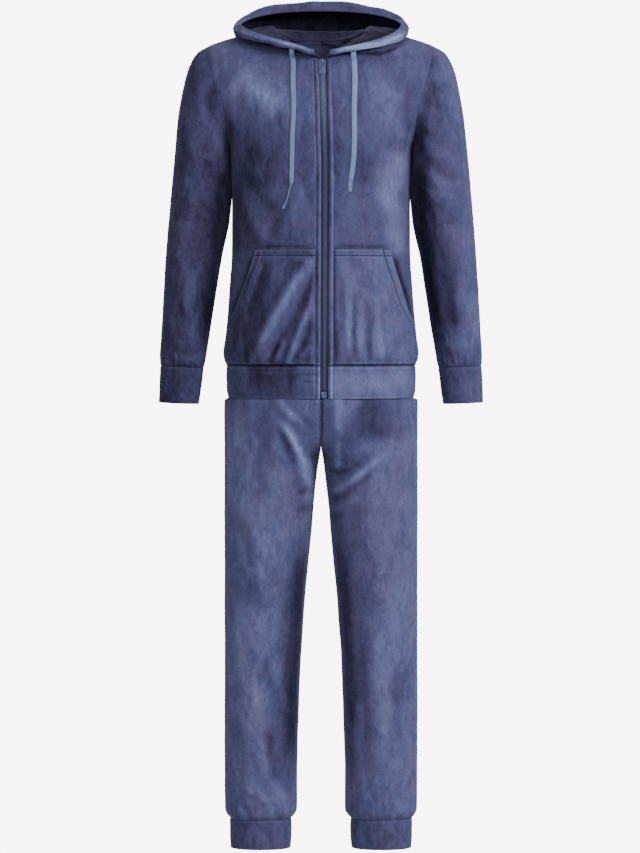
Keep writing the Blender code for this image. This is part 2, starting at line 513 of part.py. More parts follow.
def hood_half(neck, droop):
    """The hood's left half: its rings, with the lowest drawn onto the neckline's own straight edges."""
    columns = 2 * (len(neck) - 1)
    rows = np.linspace(0, len(HOOD) - 1, HOOD_ROWS + 1)
    rings = hood_rings(rows, columns // 2, droop)
    seam = np.empty((columns + 1, 3))
    seam[::2] = neck
    seam[1::2] = (neck[:-1] + neck[1:]) / 2
    fade = np.clip(1 - rows, 0, 1)[:, None, None]
    return rings + fade * (seam - rings[0])


def trouser_sheets():
    """Outer sheets of the trousers' sewn pieces."""
    rows = np.arange(len(LEG_FRONT), dtype=float)
    across = np.linspace(0, 1, LEG_STRIPS + 1)
    front = panel(LEG_FRONT, rows, across)
    back = panel(LEG_BACK, rows, across)
    right_front = front * (-1, 1, 1)
    left_front = with_folds(front, THIGH_FOLDS, on_thighs(front))
    right_front = with_folds(right_front, THIGH_FOLDS, on_thighs(right_front))
    ankle = np.vstack([front[-1, ::-1], back[-1, 1:-1]])
    half_waist = np.vstack([front[0, :-1], back[0, ::-1]])
    waist = np.vstack([half_waist, (half_waist * (-1, 1, 1))[-2:0:-1]])
    cuff = banded(ankle, ANKLE_CUFF)
    return {
        "leg_front_left": (left_front[:, ::-1], "flat"),
        "leg_front_right": (right_front, "flat"),
        "leg_back_left": (back, "flat"),
        "leg_back_right": (mirrored(back), "flat"),
        "waistband": (banded(waist, WAISTBAND), "tube"),
        "ankle_cuff_left": (cuff, "tube"),
        "ankle_cuff_right": (mirrored(cuff), "tube"),
    }


def pocket_sheet(side):
    """Outer sheet of a pocket: the front panel's own points, moved out, and further at the hand opening."""
    panel_row, edge = np.array(POCKET).T
    across = POCKET_START + (edge - POCKET_START)[:, None] * np.linspace(0, 1, POCKET_STRIPS + 1)
    nudge = 1e-4
    points = panel(FRONT, panel_row, across)
    along = panel(FRONT, panel_row + nudge, across) - points
    round_body = panel(FRONT, panel_row, across + nudge) - points
    facing = unit(np.cross(round_body, along))
    opening = np.clip((panel_row - MOUTH_LOW) / (panel_row[-1] - MOUTH_LOW), 0, 1)
    bulge = np.sin(math.pi * opening)[:, None] * np.sin(0.5 * math.pi * np.linspace(0, 1, POCKET_STRIPS + 1))
    sheet = points + facing * (POCKET_LIFT + CLOTH + POCKET_FULLNESS * bulge)[..., None]
    inside = np.sin(math.pi * np.linspace(0, 1, len(POCKET)))[:, None]
    inside = inside * np.sin(math.pi * np.linspace(0, 1, POCKET_STRIPS + 1))
    if side == "right":
        return with_folds(with_sway(mirrored(sheet)), POCKET_FOLDS_RIGHT, inside[:, ::-1]), mirrored(facing)
    return with_folds(with_sway(sheet), POCKET_FOLDS_LEFT, inside), facing


def zip_line(sheets, directions, side):
    """The first facet beside the zip, as two columns of points and directions from the box to the top."""
    order = slice(None) if side == "left" else slice(None, None, -1)
    front, facing = sheets["jacket_front_" + side][0][:, order], directions["jacket_front_" + side][:, order]
    band, band_facing = sheets["hem_band"][0], directions["hem_band"]
    if side == "left":
        band, band_facing = band[:, ::-1], band_facing[:, ::-1]
    points = np.concatenate([band[BOX_ROW:0:-1, :2], front[:NECK + 1, :2]])
    return points, np.concatenate([band_facing[BOX_ROW:0:-1, :2], facing[:NECK + 1, :2]])


def zip_tape(sheets, directions, side):
    """One tape of the zip: a thin strip behind the edge of the front, from the box to the top."""
    points, facing = zip_line(sheets, directions, side)
    outwards = 1 if side == "left" else -1
    edge = points[:, 0]
    inner = edge.copy()
    inner[:, 0] -= outwards * (0.0074 - CHAIN_HALF - SEAM)
    outer = edge + (points[:, 1] - edge) * TAPE_BEHIND
    near = CLOTH + SEAM
    far = near + TAPE_THICK
    rings = np.stack([
        inner - facing[:, 0] * near,
        edge - facing[:, 0] * near,
        outer - (facing[:, 0] * (1 - TAPE_BEHIND) + facing[:, 1] * TAPE_BEHIND) * near,
        outer - (facing[:, 0] * (1 - TAPE_BEHIND) + facing[:, 1] * TAPE_BEHIND) * far,
        edge - facing[:, 0] * far,
        inner - facing[:, 0] * far,
    ], axis=1)
    strip("zip_tape_" + side, rings, TAPE_BLUE)


def zip_middle(sheets, directions):
    """The line midway between the two fronts, and its outward direction, from the box to the top."""
    left, left_facing = zip_line(sheets, directions, "left")
    right, right_facing = zip_line(sheets, directions, "right")
    return (left[:, 0] + right[:, 0]) / 2, unit(left_facing[:, 0] + right_facing[:, 0])


def zip_chain(middle, facing):
    """The closed teeth, as one plain bar from the box up to the slider."""
    line = middle.copy()
    drop = SLIDER_TALL + SEAM
    line[-1] += unit(line[-2] - line[-1]) * drop
    across = np.array((CHAIN_HALF, 0, 0))
    front, behind = facing * 0.0004, -facing * (CLOTH + SEAM + TAPE_THICK)
    rings = np.stack([line - across + front, line + across + front, line + across + behind, line - across + behind], 1)
    strip("zip_chain", rings, TAPE_BLUE, 0.45)


def placed(made, middle, tilt):
    """Turn a small piece of the zip to the slope of the chest and set it at its place."""
    made.rotation_euler = (tilt, 0, 0)
    made.location = tuple(middle)
    return made


def zip_box(middle, tilt):
    """The box at the zip's bottom end, hanging below the chain."""
    half, front, behind, tall = 0.0045, -0.0010, 0.0032, 0.0110
    low, high = -SEAM - tall, -SEAM
    rings = [[(-half, front, z), (half, front, z), (half, behind, z), (-half, behind, z)] for z in (low, high)]
    placed(strip("zip_box", rings, METAL_BLUE, 0.4, 0.6), middle, tilt)


def zip_slider(middle, tilt):
    """The slider: two plates joined by a neck between the tapes, with a bridge over its face."""
    half, neck = SLIDER_WIDE / 2, 0.0021
    face, front, behind, back = SLIDER_FACE, 0.0014, 0.0040, 0.0052
    outline = [(-half, face), (half, face), (half, front), (neck, front), (neck, behind), (half, behind),
               (half, back), (-half, back), (-half, behind), (-neck, behind), (-neck, front), (-half, front)]
    body = strip("zip_slider", [[(x, y, z) for x, y in outline] for z in (-SLIDER_TALL, 0)], METAL_BLUE, 0.4, 0.6)
    wide, bar = 0.0012, 0.0011
    low, high = -0.0095, -0.0015
    top = face - BRIDGE_STAND
    profile = [(face + 0.0005, low), (top + bar, low), (top, low + bar), (top, high - bar), (top + bar, high),
               (face + 0.0005, high), (face + 0.0005, high - bar), (top + bar, high - bar),
               (top + bar, low + bar), (face + 0.0005, low + bar)]
    bridge = strip("bridge", [[(x, y, z) for y, z in profile] for x in (-wide, wide)], METAL_BLUE)
    bridge.hide_render = True
    bridge.display_type = "WIRE"
    join = body.modifiers.new("bridge", "BOOLEAN")
    join.operation = "UNION"
    join.object = bridge
    placed(body, middle, tilt)
    placed(bridge, middle, tilt)


def zip_pull(top, tilt):
    """The pull tab: a plate with a window that goes round the bridge, hung on its own cross bar.

    Its origin is the cross bar's middle, on the axis that it turns about.
    """
    hang_y, hang_z = SLIDER_FACE - 0.00115, -0.0037
    middle = top + (0, hang_y * math.cos(tilt) - hang_z * math.sin(tilt),
                    hang_y * math.sin(tilt) + hang_z * math.cos(tilt))
    half, arm, window = PULL_WIDE / 2, 0.0028, 0.0100
    tip = PULL_TALL - PIN_RADIUS
    taper = 0.0042
    outline = [(-half, 0), (-half, -window), (-taper, -tip + 0.002), (-taper + 0.002, -tip),
               (taper - 0.002, -tip), (taper, -tip + 0.002), (half, -window), (half, 0),
               (half - arm, 0), (half - arm, -window), (-half + arm, -window), (-half + arm, 0)]
    thick = PULL_THICK / 2
    plate = strip("zip_pull", [[(x, y, z) for x, z in outline] for y in (-thick, thick)], METAL_BLUE, 0.4, 0.6)
    turn = [2 * math.pi * step / 10 for step in range(10)]
    ring = [(PIN_RADIUS * math.cos(a), PIN_RADIUS * math.sin(a)) for a in turn]
    pin = strip("pin", [[(x, y, z) for y, z in ring] for x in (-half, half)], METAL_BLUE)
    pin.hide_render = True
    pin.display_type = "WIRE"
    join = plate.modifiers.new("pin", "BOOLEAN")
    join.operation = "UNION"
    join.object = pin
    placed(plate, middle, tilt)
    placed(pin, middle, tilt)


def drawstring(name, route):
    """A flat woven tape: rectangular rings along its route, its width across the chest."""
    at = dict(zip(STRING_COLUMNS, np.array(route).T))
    line = np.stack([at["x"], at["y"], at["z"]], axis=-1)
    along = unit(np.gradient(line, axis=0))
    level = unit(np.cross(along, (0.0, 1.0, 0.0)))
    turned = level + np.sign(line[:, :1]) * STRING_SLOPE * np.array((0.0, 1.0, 0.0))
    across = unit(turned - along * np.sum(turned * along, axis=-1, keepdims=True))
    facing = np.cross(across, along)
    half, thick = across * at["width"][:, None] / 2, facing * DRAWSTRING_THICK / 2
    rings = [line - half - thick, line + half - thick, line + half + thick, line - half + thick]
    strip(name, np.stack(rings, axis=1), SATIN)


def main():
    """Build every piece of the jacket and the trousers."""
    for old in list(bpy.data.objects):
        bpy.data.objects.remove(old)
    sheets = jacket_sheets()
    directions = outward_directions(sheets)
    for name, (grid, kind) in sheets.items():
        cloth(name, grid, directions[name], kind)
    for side in ("left", "right"):
        sheet, facing = pocket_sheet(side)
        cloth("pocket_" + side, sheet, facing)
        zip_tape(sheets, directions, side)
    middle, facing = zip_middle(sheets, directions)
    zip_chain(middle, facing)
    down = middle[-2] - middle[-1]
    tilt = math.atan2(down[1], -down[2])
    zip_box(middle[0], 0.0)
    zip_slider(middle[-1], tilt)
    zip_pull(middle[-1], tilt)
    legs = trouser_sheets()
    directions = outward_directions(legs)
    for name, (grid, kind) in legs.items():
        cloth(name, grid, directions[name], kind)
    drawstring("drawstring_left", STRING_LEFT)
    drawstring("drawstring_right", STRING_RIGHT)


main()
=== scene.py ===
# %% [markdown]
# # A velour lounge set: zip hooded jacket over cuffed trousers
#
# The set hangs in the air in the shape that it has when it is worn, with nobody inside. Everything that is
# sewn is a thin wall of cloth, so each piece below is first a smooth surface (a grid of points worked out
# with numpy), then gets its folds, and last a thickness of 2 mm. The imported model is loaded first: it gives
# the bodies that the pieces ride on.

# %% Load the imported model
import math

import bmesh
import bpy
import numpy as np
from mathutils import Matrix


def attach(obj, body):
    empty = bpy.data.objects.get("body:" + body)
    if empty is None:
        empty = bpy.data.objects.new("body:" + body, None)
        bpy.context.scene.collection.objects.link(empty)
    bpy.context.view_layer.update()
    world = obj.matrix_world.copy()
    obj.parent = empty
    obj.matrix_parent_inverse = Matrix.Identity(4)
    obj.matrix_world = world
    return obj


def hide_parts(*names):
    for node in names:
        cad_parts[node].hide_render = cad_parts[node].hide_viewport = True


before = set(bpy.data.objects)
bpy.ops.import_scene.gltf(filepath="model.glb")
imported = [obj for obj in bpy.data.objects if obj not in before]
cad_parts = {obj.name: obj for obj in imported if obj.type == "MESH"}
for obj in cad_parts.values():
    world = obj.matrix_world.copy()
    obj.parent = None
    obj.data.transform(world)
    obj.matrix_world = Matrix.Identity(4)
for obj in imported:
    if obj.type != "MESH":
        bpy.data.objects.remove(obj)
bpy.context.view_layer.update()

MM = 0.001


# %% [markdown]
# ## Curves and surfaces
#
# A garment is drawn as a pattern cutter thinks of it: by its girth at a few heights. Each panel is a table
# with one row per height. A row says where the panel starts (zip, centre back or inside leg), where it ends
# (side seam or armhole) and in which direction it leaves both ends. A cubic curve joins the two ends, and
# the rows are joined by curves that never overshoot, so the surface is smooth but has no ripples of its own.


# %% Small helpers for curves
def unit(vectors):
    """Vectors divided by their length."""
    return vectors / np.maximum(np.linalg.norm(vectors, axis=-1, keepdims=True), 1e-12)


def smooth(values, low=0.0, high=1.0):
    """0 below `low`, 1 above `high`, and the s-shaped 3t^2 - 2t^3 between them."""
    t = np.clip((values - low) / (high - low), 0, 1)
    return t * t * (3 - 2 * t)


def glide(table, at):
    """Rows of a table at in-between places: cubic pieces whose slopes are harmonic means of the steps."""
    values = np.array(table, float)
    steps = np.diff(values, axis=0)
    before, after = steps[:-1], steps[1:]
    agree = before * after > 0
    inner = np.where(agree, 2 * before * after / np.where(agree, before + after, 1), 0)
    slopes = np.vstack([steps[:1], inner, steps[-1:]])
    at = np.asarray(at, float)
    low = np.clip(np.floor(at).astype(int), 0, len(values) - 2)
    t = (at - low)[..., None]
    ends = values[low] * (1 + 2 * t) * (1 - t) ** 2 + values[low + 1] * t ** 2 * (3 - 2 * t)
    return ends + slopes[low] * t * (1 - t) ** 2 - slopes[low + 1] * t ** 2 * (1 - t)


def cubic(start, start_pull, end_pull, end, t):
    """Points at t on cubic curves given by their two ends and two pulls."""
    return ((1 - t) ** 3 * start + 3 * t * (1 - t) ** 2 * start_pull
            + 3 * t ** 2 * (1 - t) * end_pull + t ** 3 * end)


def run(line):
    """Length travelled along a line of points, at each of its points."""
    return np.concatenate([[0], np.cumsum(np.linalg.norm(np.diff(line, axis=0), axis=-1))])


def along_line(at, travelled, values):
    """A line's `values`, one row for each length in `travelled`, at other lengths along it."""
    return np.stack([np.interp(at, travelled, values[:, axis]) for axis in range(3)], axis=-1)


def evenly(table, column, count, first=0.0, last=None):
    """Row places between first and last at which one column of a table changes by equal steps."""
    last = len(table) - 1.0 if last is None else last
    fine = np.linspace(first, last, 2000)
    travelled = np.concatenate([[0], np.cumsum(np.abs(np.diff(glide(table, fine)[:, column])) + 1e-6)])
    return np.interp(np.linspace(0, travelled[-1], count), travelled, fine)


# %% [markdown]
# ## The cut, as tables
#
# These are the jacket's front and back from hem to shoulder, the sleeve, the hood and the legs. Sizes are
# in metres. The wearer faces -Y, and the wearer's left is +X. Only left halves are drawn: the right halves
# are mirrored, and what differs between them (the sway of the zip, the hang of the hood) is added after.

# %% Tables of the jacket
PANEL_COLUMNS = ("in_x", "in_y", "in_z", "in_dx", "in_dy",
                 "out_x", "out_y", "out_z", "out_dx", "out_dy", "rise")
FRONT = (
    (0.0074, -0.1205, -0.567, 0.100, 0.000, 0.1700, 0.004, -0.5670, 0.000, -0.072, 0.000),   # hem seam
    (0.0074, -0.1260, -0.545, 0.104, 0.000, 0.1745, 0.004, -0.5450, 0.000, -0.078, 0.000),
    (0.0074, -0.1255, -0.486, 0.102, 0.000, 0.1690, 0.004, -0.4860, 0.000, -0.077, 0.000),
    (0.0074, -0.1220, -0.425, 0.098, 0.000, 0.1645, 0.004, -0.4250, 0.000, -0.074, 0.000),
    (0.0074, -0.1185, -0.366, 0.095, 0.000, 0.1606, 0.004, -0.3660, 0.000, -0.072, 0.000),   # pocket top
    (0.0074, -0.1185, -0.280, 0.095, 0.000, 0.1602, 0.004, -0.2800, 0.000, -0.072, 0.000),   # waist
    (0.0074, -0.1210, -0.190, 0.095, 0.000, 0.1635, 0.004, -0.1800, 0.000, -0.072, 0.000),   # underarm
    (0.0074, -0.1195, -0.154, 0.090, 0.000, 0.1655, -0.026, -0.1630, -0.010, -0.050, 0.000),
    (0.0074, -0.1170, -0.121, 0.085, 0.000, 0.1705, -0.046, -0.1300, -0.030, -0.034, 0.000),
    (0.0074, -0.1135, -0.088, 0.080, 0.000, 0.1785, -0.053, -0.0940, -0.045, -0.026, 0.000),
    (0.0074, -0.1085, -0.056, 0.075, 0.000, 0.1880, -0.050, -0.0600, -0.055, -0.022, 0.000),
    (0.0074, -0.1020, -0.025, 0.065, 0.000, 0.1950, -0.040, -0.0310, -0.055, -0.018, 0.001),  # zip top
    (0.0350, -0.0880, -0.015, 0.045, 0.004, 0.1985, -0.027, -0.0100, -0.050, -0.014, 0.003),
    (0.0640, -0.0540, 0.007, 0.040, 0.010, 0.2000, -0.013, 0.0020, -0.045, -0.008, 0.005),
    (0.0800, -0.0030, 0.031, 0.040, 0.000, 0.2005, 0.002, 0.0065, -0.040, -0.001, 0.006),    # shoulder
)
BACK = (
    (0.0000, 0.1200, -0.567, 0.095, 0.000, 0.1700, 0.004, -0.5670, 0.000, 0.070, 0.000),     # hem seam
    (0.0000, 0.1270, -0.545, 0.100, 0.000, 0.1745, 0.004, -0.5450, 0.000, 0.076, 0.000),
    (0.0000, 0.1240, -0.486, 0.098, 0.000, 0.1690, 0.004, -0.4860, 0.000, 0.074, 0.000),
    (0.0000, 0.1140, -0.425, 0.095, 0.000, 0.1640, 0.004, -0.4250, 0.000, 0.068, 0.000),
    (0.0000, 0.1040, -0.366, 0.092, 0.000, 0.1606, 0.004, -0.3660, 0.000, 0.063, 0.000),     # pocket top
    (0.0000, 0.1000, -0.280, 0.092, 0.000, 0.1602, 0.004, -0.2800, 0.000, 0.062, 0.000),     # waist
    (0.0000, 0.1080, -0.185, 0.095, 0.000, 0.1635, 0.004, -0.1800, 0.000, 0.066, 0.000),     # underarm
    (0.0000, 0.1095, -0.148, 0.095, 0.000, 0.1655, 0.036, -0.1630, -0.008, 0.045, 0.000),
    (0.0000, 0.1090, -0.112, 0.095, 0.000, 0.1695, 0.054, -0.1310, -0.028, 0.030, 0.000),
    (0.0000, 0.1065, -0.074, 0.090, 0.000, 0.1765, 0.060, -0.0970, -0.045, 0.022, 0.000),
    (0.0000, 0.0990, -0.030, 0.085, 0.000, 0.1855, 0.056, -0.0640, -0.055, 0.020, 0.000),
    (0.0000, 0.0800, 0.018, 0.060, 0.000, 0.1930, 0.044, -0.0360, -0.055, 0.018, 0.002),     # centre neck
    (0.0350, 0.0700, 0.020, 0.045, 0.000, 0.1975, 0.030, -0.0120, -0.050, 0.012, 0.004),
    (0.0640, 0.0430, 0.025, 0.040, -0.004, 0.2000, 0.016, 0.0015, -0.045, 0.006, 0.005),
    (0.0800, -0.0030, 0.031, 0.040, 0.000, 0.2005, 0.002, 0.0065, -0.040, -0.001, 0.006),    # shoulder
)
UNDERARM, NECK, SHOULDER = 6, 11, 14      # rows where the armhole starts, the neckline starts, the panels end
TUBE_COLUMNS = ("out_x", "out_z", "in_x", "in_z", "mid_y", "half_y")
SLEEVE = (
    (0.2220, -0.0060, 0.1642, -0.1860, 0.0030, 0.0590),
    (0.2380, -0.0340, 0.1640, -0.1980, 0.0030, 0.0620),
    (0.2490, -0.0760, 0.1629, -0.2140, 0.0020, 0.0640),
    (0.2570, -0.1240, 0.1618, -0.2360, 0.0010, 0.0640),
    (0.2630, -0.1850, 0.1611, -0.2660, 0.0000, 0.0620),
    (0.2700, -0.2620, 0.1640, -0.3080, -0.0020, 0.0590),
    (0.2775, -0.3500, 0.1770, -0.3700, -0.0050, 0.0550),
    (0.2830, -0.4350, 0.1888, -0.4420, -0.0080, 0.0505),
    (0.2880, -0.5150, 0.2005, -0.5180, -0.0110, 0.0465),
    (0.2900, -0.5480, 0.2065, -0.5520, -0.0120, 0.0455),   # blouse over the cuff
    (0.2885, -0.5680, 0.2105, -0.5725, -0.0125, 0.0400),   # cuff seam
)
SLEEVE_CUFF = (
    (0.2885, -0.5680, 0.2105, -0.5725, -0.0125, 0.0400),
    (0.2905, -0.5980, 0.2140, -0.6020, -0.0135, 0.0390),
    (0.2915, -0.6330, 0.2190, -0.6360, -0.0145, 0.0375),
)
HOOD_COLUMNS = ("front_x", "front_y", "front_z", "side_x", "side_y", "side_z", "back_y", "back_z", "early")
HOOD = (
    (0.0074, -0.1020, -0.0250, 0.0800, -0.003, 0.0310, 0.080, 0.0180, 0.30),    # neck seam
    (0.0080, -0.1050, -0.0205, 0.0890, 0.002, 0.0400, 0.090, 0.0375, 0.30),     # stand
    (0.0100, -0.1100, -0.0195, 0.1100, 0.004, 0.0385, 0.114, -0.0300, 0.10),    # fall
    (0.0125, -0.1145, -0.0195, 0.1340, 0.004, 0.0325, 0.138, -0.1300, 0.04),    # bottom fold
    (0.0145, -0.1180, -0.0165, 0.1545, 0.001, 0.0275, 0.172, -0.0500, 0.10),    # rise
    (0.0150, -0.1170, -0.0120, 0.1585, -0.002, 0.0370, 0.143, 0.0985, 0.33),    # crest
    (0.0130, -0.1090, -0.0095, 0.1445, -0.003, 0.0462, 0.118, 0.0790, 0.24),    # free edge
)
LIP_DROOP = 0.007        # how much lower the hood's front lip hangs on the wearer's left
# Bands: how far below its seam each ring lies, and how much of the seam's outline it keeps.
HEM_BAND = ((0.0, 1.0), (0.020, 1.006), (0.0455, 1.000), (0.058, 0.983))
ZIP_SWAY_Z = (-0.62, -0.21, -0.02, 0.05)      # heights, and how far the zip has shifted to the left there
ZIP_SWAY_X = (0.0054, 0.0072, 0.0018, 0.0)
SWAY_REACH = 0.165

# %% Tables of the trousers
LEG_FRONT = (
    (0.0000, -0.0980, -0.445, 0.075, 0.000, 0.1360, 0.002, -0.445, 0.000, -0.055, 0.0),      # waist seam
    (0.0000, -0.1060, -0.500, 0.083, 0.000, 0.1500, 0.002, -0.500, 0.000, -0.060, 0.0),
    (0.0000, -0.1120, -0.560, 0.090, 0.000, 0.1590, 0.002, -0.560, 0.000, -0.065, 0.0),
    (0.0000, -0.1130, -0.624, 0.092, 0.000, 0.1643, 0.002, -0.624, 0.000, -0.067, 0.0),      # under the hem
    (0.0000, -0.1200, -0.6285, 0.096, 0.000, 0.1736, 0.002, -0.6285, 0.000, -0.074, 0.0),
    (0.0000, -0.1210, -0.656, 0.096, -0.001, 0.1742, 0.002, -0.656, 0.000, -0.078, 0.0),
    (0.0000, -0.1080, -0.688, 0.070, -0.014, 0.1742, 0.002, -0.694, 0.000, -0.100, 0.0),
    (0.0000, -0.0720, -0.708, 0.034, -0.050, 0.1742, 0.002, -0.728, 0.000, -0.124, 0.0),
    (0.0000, -0.0340, -0.714, 0.012, -0.090, 0.1742, 0.002, -0.762, 0.000, -0.136, 0.0),
    (0.0000, 0.0000, -0.716, 0.003, -0.130, 0.1742, 0.001, -0.800, 0.000, -0.138, 0.0),      # crotch
    (0.0065, 0.0000, -0.756, 0.000, -0.136, 0.1742, 0.001, -0.835, 0.000, -0.135, 0.0),
    (0.0125, 0.0000, -0.812, 0.000, -0.132, 0.1742, 0.001, -0.876, 0.000, -0.130, 0.0),
    (0.0185, 0.0000, -0.880, 0.000, -0.124, 0.1742, 0.001, -0.928, 0.000, -0.123, 0.0),
    (0.0300, 0.0000, -1.005, 0.000, -0.107, 0.1742, 0.001, -1.018, 0.000, -0.107, 0.0),      # knee
    (0.0385, 0.0030, -1.150, 0.000, -0.088, 0.1742, 0.004, -1.150, 0.000, -0.088, 0.0),
    (0.0425, 0.0040, -1.290, 0.000, -0.078, 0.1742, 0.005, -1.290, 0.000, -0.078, 0.0),
    (0.0430, 0.0030, -1.366, 0.000, -0.076, 0.1738, 0.003, -1.366, 0.000, -0.076, 0.0),      # blouse
    (0.0530, 0.0010, -1.384, 0.000, -0.060, 0.1650, 0.001, -1.384, 0.000, -0.060, 0.0),      # cuff seam
)
LEG_BACK = (
    (0.0000, 0.0960, -0.445, 0.075, 0.000, 0.1360, 0.002, -0.445, 0.000, 0.055, 0.0),        # waist seam
    (0.0000, 0.1060, -0.500, 0.083, 0.000, 0.1500, 0.002, -0.500, 0.000, 0.060, 0.0),
    (0.0000, 0.1130, -0.560, 0.090, 0.000, 0.1590, 0.002, -0.560, 0.000, 0.066, 0.0),
    (0.0000, 0.1120, -0.624, 0.092, 0.000, 0.1643, 0.002, -0.624, 0.000, 0.066, 0.0),        # under the hem
    (0.0000, 0.1220, -0.6285, 0.096, 0.000, 0.1736, 0.002, -0.6285, 0.000, 0.077, 0.0),
    (0.0000, 0.1240, -0.656, 0.096, 0.002, 0.1742, 0.002, -0.656, 0.000, 0.084, 0.0),
    (0.0000, 0.1160, -0.688, 0.070, 0.016, 0.1742, 0.002, -0.694, 0.000, 0.110, 0.0),
    (0.0000, 0.0880, -0.708, 0.040, 0.048, 0.1742, 0.002, -0.728, 0.000, 0.132, 0.0),
    (0.0000, 0.0450, -0.714, 0.014, 0.092, 0.1742, 0.002, -0.762, 0.000, 0.144, 0.0),
    (0.0000, 0.0000, -0.716, 0.003, 0.140, 0.1742, 0.001, -0.800, 0.000, 0.146, 0.0),        # crotch
    (0.0065, 0.0000, -0.756, 0.000, 0.142, 0.1742, 0.001, -0.835, 0.000, 0.141, 0.0),
    (0.0125, 0.0000, -0.812, 0.000, 0.134, 0.1742, 0.001, -0.876, 0.000, 0.132, 0.0),
    (0.0185, 0.0000, -0.880, 0.000, 0.122, 0.1742, 0.001, -0.928, 0.000, 0.121, 0.0),
    (0.0300, 0.0000, -1.005, 0.000, 0.104, 0.1742, 0.001, -1.018, 0.000, 0.103, 0.0),        # knee
    (0.0385, 0.0030, -1.150, 0.000, 0.094, 0.1742, 0.004, -1.150, 0.000, 0.092, 0.0),
    (0.0425, 0.0040, -1.290, 0.000, 0.080, 0.1742, 0.005, -1.290, 0.000, 0.080, 0.0),
    (0.0430, 0.0030, -1.366, 0.000, 0.076, 0.1738, 0.003, -1.366, 0.000, 0.076, 0.0),        # blouse
    (0.0530, 0.0010, -1.384, 0.000, 0.060, 0.1650, 0.001, -1.384, 0.000, 0.060, 0.0),        # cuff seam
)
WAISTBAND = ((0.0, 1.0), (-0.038, 0.975))
ANKLE_CUFF = ((0.0, 1.0), (0.030, 1.000), (0.053, 0.970))


# %% Surfaces from the tables
def panel(table, rows, across):
    """Points of a panel: for each row place a cubic from its inner to its outer edge, taken at `across`."""
    rows, across = np.broadcast_arrays(rows, across)
    at = dict(zip(PANEL_COLUMNS, np.moveaxis(glide(table, rows), -1, 0)))
    start = np.stack([at["in_x"], at["in_y"], at["in_z"]], axis=-1)
    end = np.stack([at["out_x"], at["out_y"], at["out_z"]], axis=-1)
    third = (end - start)[..., 2] / 3
    start_pull = start + np.stack([at["in_dx"], at["in_dy"], third], axis=-1)
    end_pull = end + np.stack([at["out_dx"], at["out_dy"], -third], axis=-1)
    points = cubic(start, start_pull, end_pull, end, across[..., None])
    points[..., 2] += at["rise"] * 4 * across * (1 - across)
    return points


def ovals(table, rows, turn):
    """Rings of a sleeve: ovals through an outer and an inner point, that pass the front after the outside."""
    rows, turn = np.broadcast_arrays(rows, turn)
    at = dict(zip(TUBE_COLUMNS, np.moveaxis(glide(table, rows), -1, 0)))
    middle_x, middle_z = (at["out_x"] + at["in_x"]) / 2, (at["out_z"] + at["in_z"]) / 2
    x = middle_x + (at["out_x"] - middle_x) * np.cos(turn)
    y = at["mid_y"] - at["half_y"] * np.sin(turn)
    z = middle_z + (at["out_z"] - middle_z) * np.cos(turn)
    return np.stack([x, y, z], axis=-1)


def hood_rings(rows, half, droop):
    """The hood's left half: each ring is a cubic from the zip to the shoulder and one to the centre back."""
    at = dict(zip(HOOD_COLUMNS, glide(HOOD, rows).T))
    front = np.stack([at["front_x"], at["front_y"], at["front_z"]], axis=-1)[:, None, :]
    side = np.stack([at["side_x"], at["side_y"], at["side_z"]], axis=-1)[:, None, :]
    back = np.stack([0 * at["back_y"], at["back_y"], at["back_z"]], axis=-1)[:, None, :]
    t = np.linspace(0, 1, half + 1)[None, :, None]
    to_side, to_back = side - front, back - side
    first = cubic(front, front + to_side * (0.33, 0.15, 0.33), side - to_side * (0, 0.45, 0.33), side, t)
    hang = np.clip(rows - 2, 0, 1)[:, None] * droop
    first[:, :, 2] -= hang * np.sin(math.pi * t[:, :, 0])
    start_pull = to_back * (0, 0.80, 0)
    start_pull[:, :, 2] = to_back[:, :, 2] * at["early"][:, None]
    second = cubic(side, side + start_pull, back - to_back * (0.88, 0, 0), back, t)
    return np.concatenate([first, second[:, 1:]], axis=1)


def zip_sway(z):
    """How far the zip's middle line has shifted to the wearer's left at a height."""
    return np.interp(z, ZIP_SWAY_Z, ZIP_SWAY_X)


def with_sway(grid):
    """The grid with its front shifted sideways, as the zip sways on the body."""
    x, y, z = grid[..., 0], grid[..., 1], grid[..., 2]
    nearness = np.clip(1 - (x / SWAY_REACH) ** 2, 0, 1) * np.clip(-y / 0.05, 0, 1)
    return grid + (zip_sway(z) * nearness)[..., None] * (1, 0, 0)


def mirrored(grid):
    """The same piece for the other side of the body, its columns turned round to face outwards."""
    return grid[:, ::-1] * (-1, 1, 1)

# %% [markdown]
# ## From a surface to a wall of cloth
#
# Cloth has two faces. The second face is the first one moved inwards along its own normals, and along every
# free edge a middle loop of points closes the gap, so that the edge is round and not a knife edge. Which
# edges are free is found from the faces themselves: an edge used by one face only has to be closed.

# %% The wall of cloth
CLOTH = 0.002
# The inner face is painted dark, as shade inside the garment; the round edge is a little darker than the outer
# face.
INNER_SHADE, EDGE_NAP = 0.25, 0.8      # how light the inner face and the edge are, as parts of the outer face


def numbers(rows, columns, kind):
    """The grid's points numbered as patches. A tube closes on its first column; the back parts above NECK."""
    number = np.arange(rows * columns).reshape(rows, columns)
    if kind == "tube":
        return [np.hstack([number, number[:, :1]])]
    if kind[:4] == "back":
        middle, neck = columns // 2, int(kind[4:])
        number[:neck + 1, middle] = number[:neck + 1, middle - 1]
        return [number[:, :middle], number[:, middle:]]
    return [number]


def grid_faces(rows, columns, kind="flat"):
    """Four-cornered faces of a grid, corners anticlockwise as seen from outside."""
    faces = [np.stack([n[:-1, :-1], n[:-1, 1:], n[1:, 1:], n[1:, :-1]], axis=-1).reshape(-1, 4)
             for n in numbers(rows, columns, kind)]
    return np.vstack(faces)


